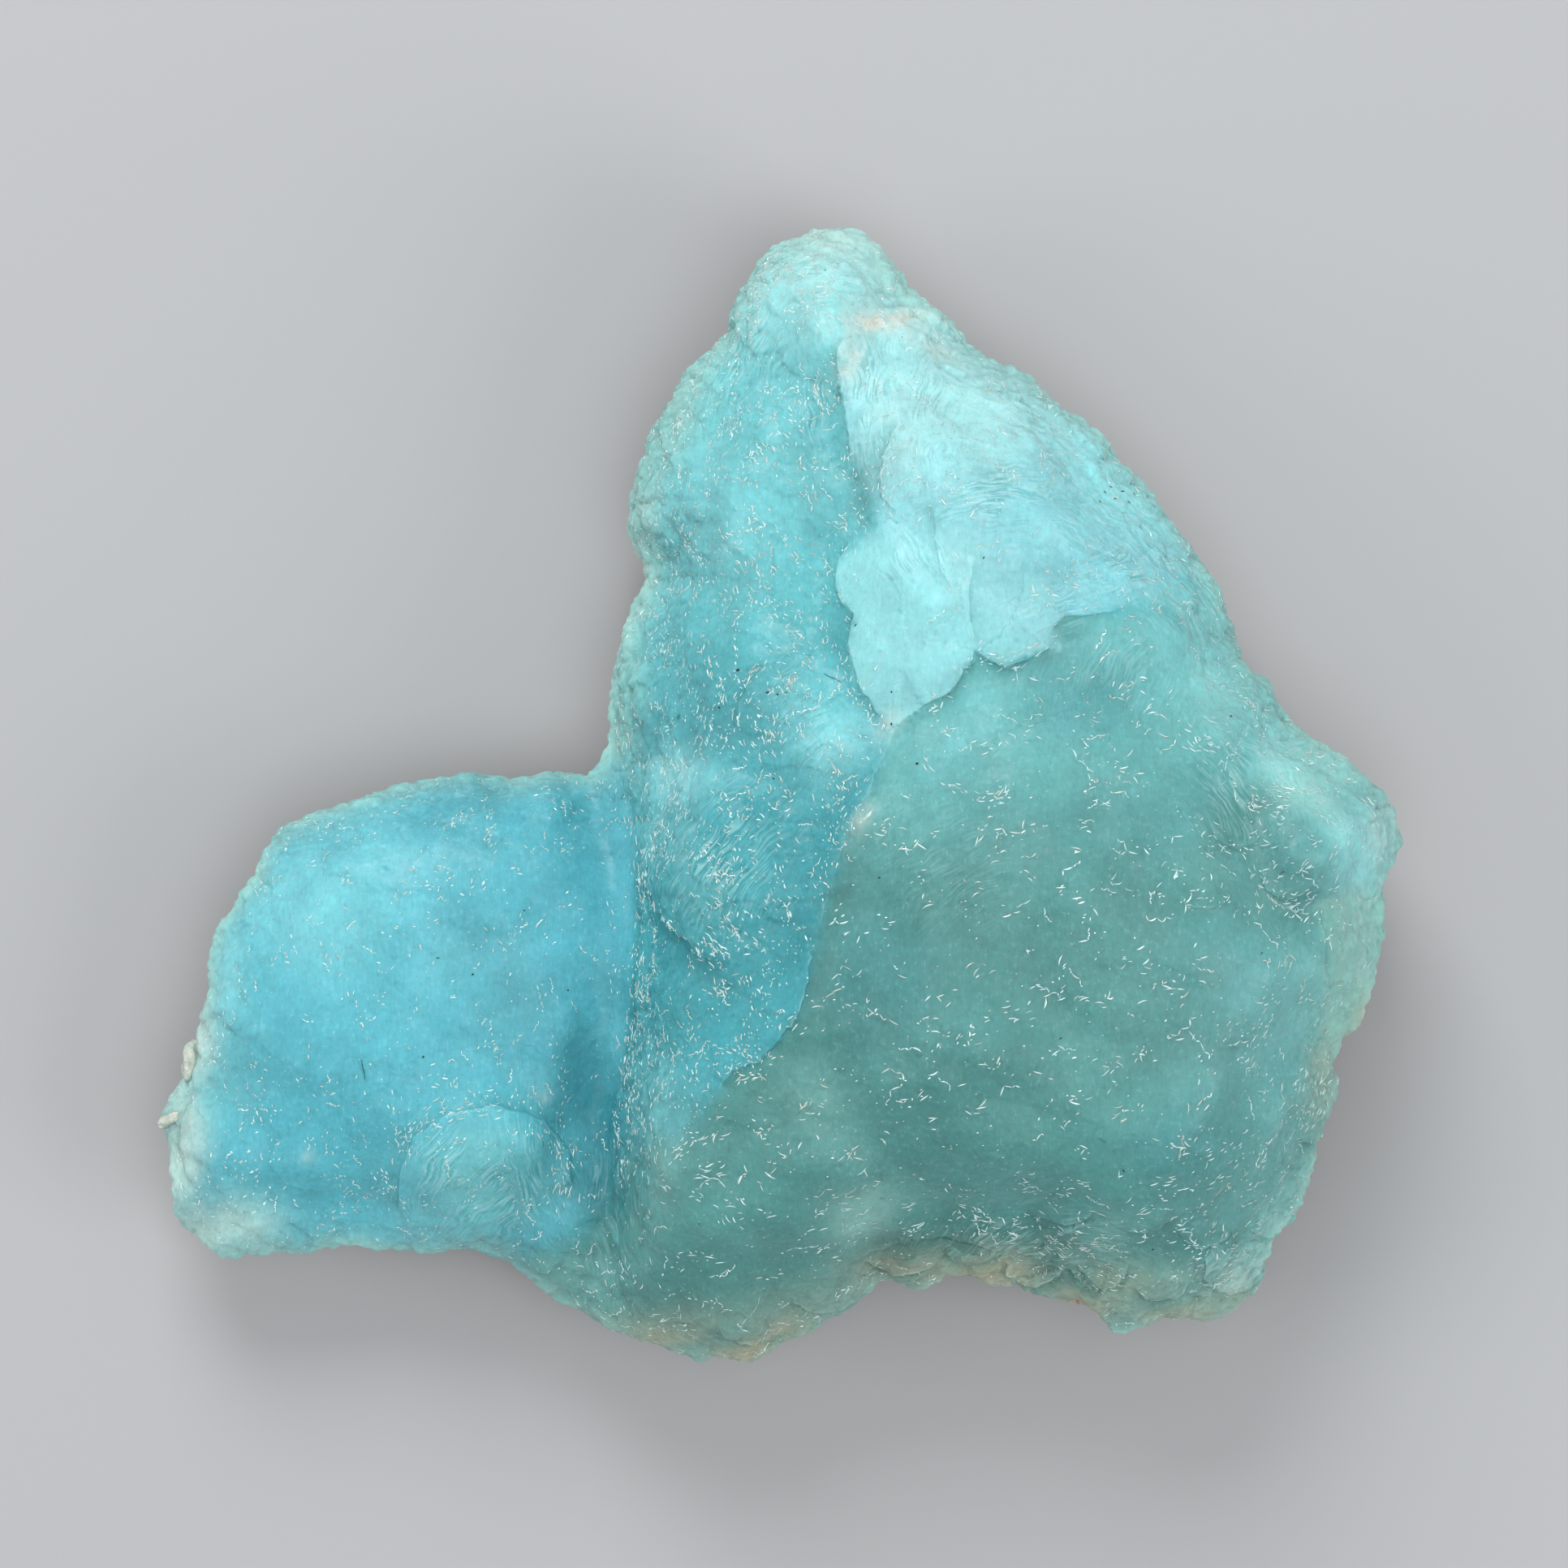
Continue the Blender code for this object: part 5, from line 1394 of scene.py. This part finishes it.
def build_floor():
    """Lay a plain pale floor under the stone."""
    mesh = bpy.data.meshes.new("floor")
    work = bmesh.new()
    bmesh.ops.create_grid(work, x_segments=1, y_segments=1, size=FLOOR_HALF_WIDTH)
    work.to_mesh(mesh)
    work.free()
    floor = link(bpy.data.objects.new("floor", mesh))
    graph = Graph("floor_look")
    graph.shader.inputs["Base Color"].default_value = (*FLOOR_GREY, 1.0)
    graph.shader.inputs["Roughness"].default_value = FLOOR_ROUGHNESS
    mesh.materials.append(graph.material)


def add_softbox(name, place, target, size, power):
    """Add a square soft light at a place, aimed at a target."""
    data = bpy.data.lights.new(name, "AREA")
    data.shape = "SQUARE"
    data.size = size
    data.energy = power
    lamp = link(bpy.data.objects.new(name, data))
    lamp.location = place
    lamp.rotation_euler = (Vector(target) - Vector(place)).to_track_quat("-Z", "Y").to_euler()


def light_scene():
    """Light the stone softly from above in the picture and from the front, with weak side fills."""
    middle = (0.0, 0.0, STONE_HEIGHT * MM / 2)
    for name, place, size, power in SOFTBOXES:
        add_softbox(name, place, middle, size, power)
    world = bpy.data.worlds.new("studio")
    world.use_nodes = True
    background = world.node_tree.nodes["Background"]
    background.inputs["Color"].default_value = (*WORLD_COLOUR, 1.0)
    background.inputs["Strength"].default_value = WORLD_STRENGTH
    bpy.context.scene.world = world


def add_camera():
    """Add the camera, looking straight down with the stone's summit at the top of the picture."""
    data = bpy.data.cameras.new("camera")
    data.lens = LENS
    data.sensor_width = SENSOR
    camera = link(bpy.data.objects.new("camera", data))
    camera.location = (*FRAME_MIDDLE, FRAME_LEVEL + FRAME_WIDTH * LENS / SENSOR)
    bpy.context.scene.camera = camera


def set_render_looks():
    """Keep the colours plain and the light paths short."""
    scene = bpy.context.scene
    scene.view_settings.view_transform = "Standard"
    scene.cycles.use_denoising = True
    scene.cycles.adaptive_threshold = 0.04
    scene.cycles.max_bounces = 2
    scene.cycles.diffuse_bounces = 1
    scene.cycles.glossy_bounces = 2


build_stone()
build_floor()
light_scene()
add_camera()
set_render_looks()
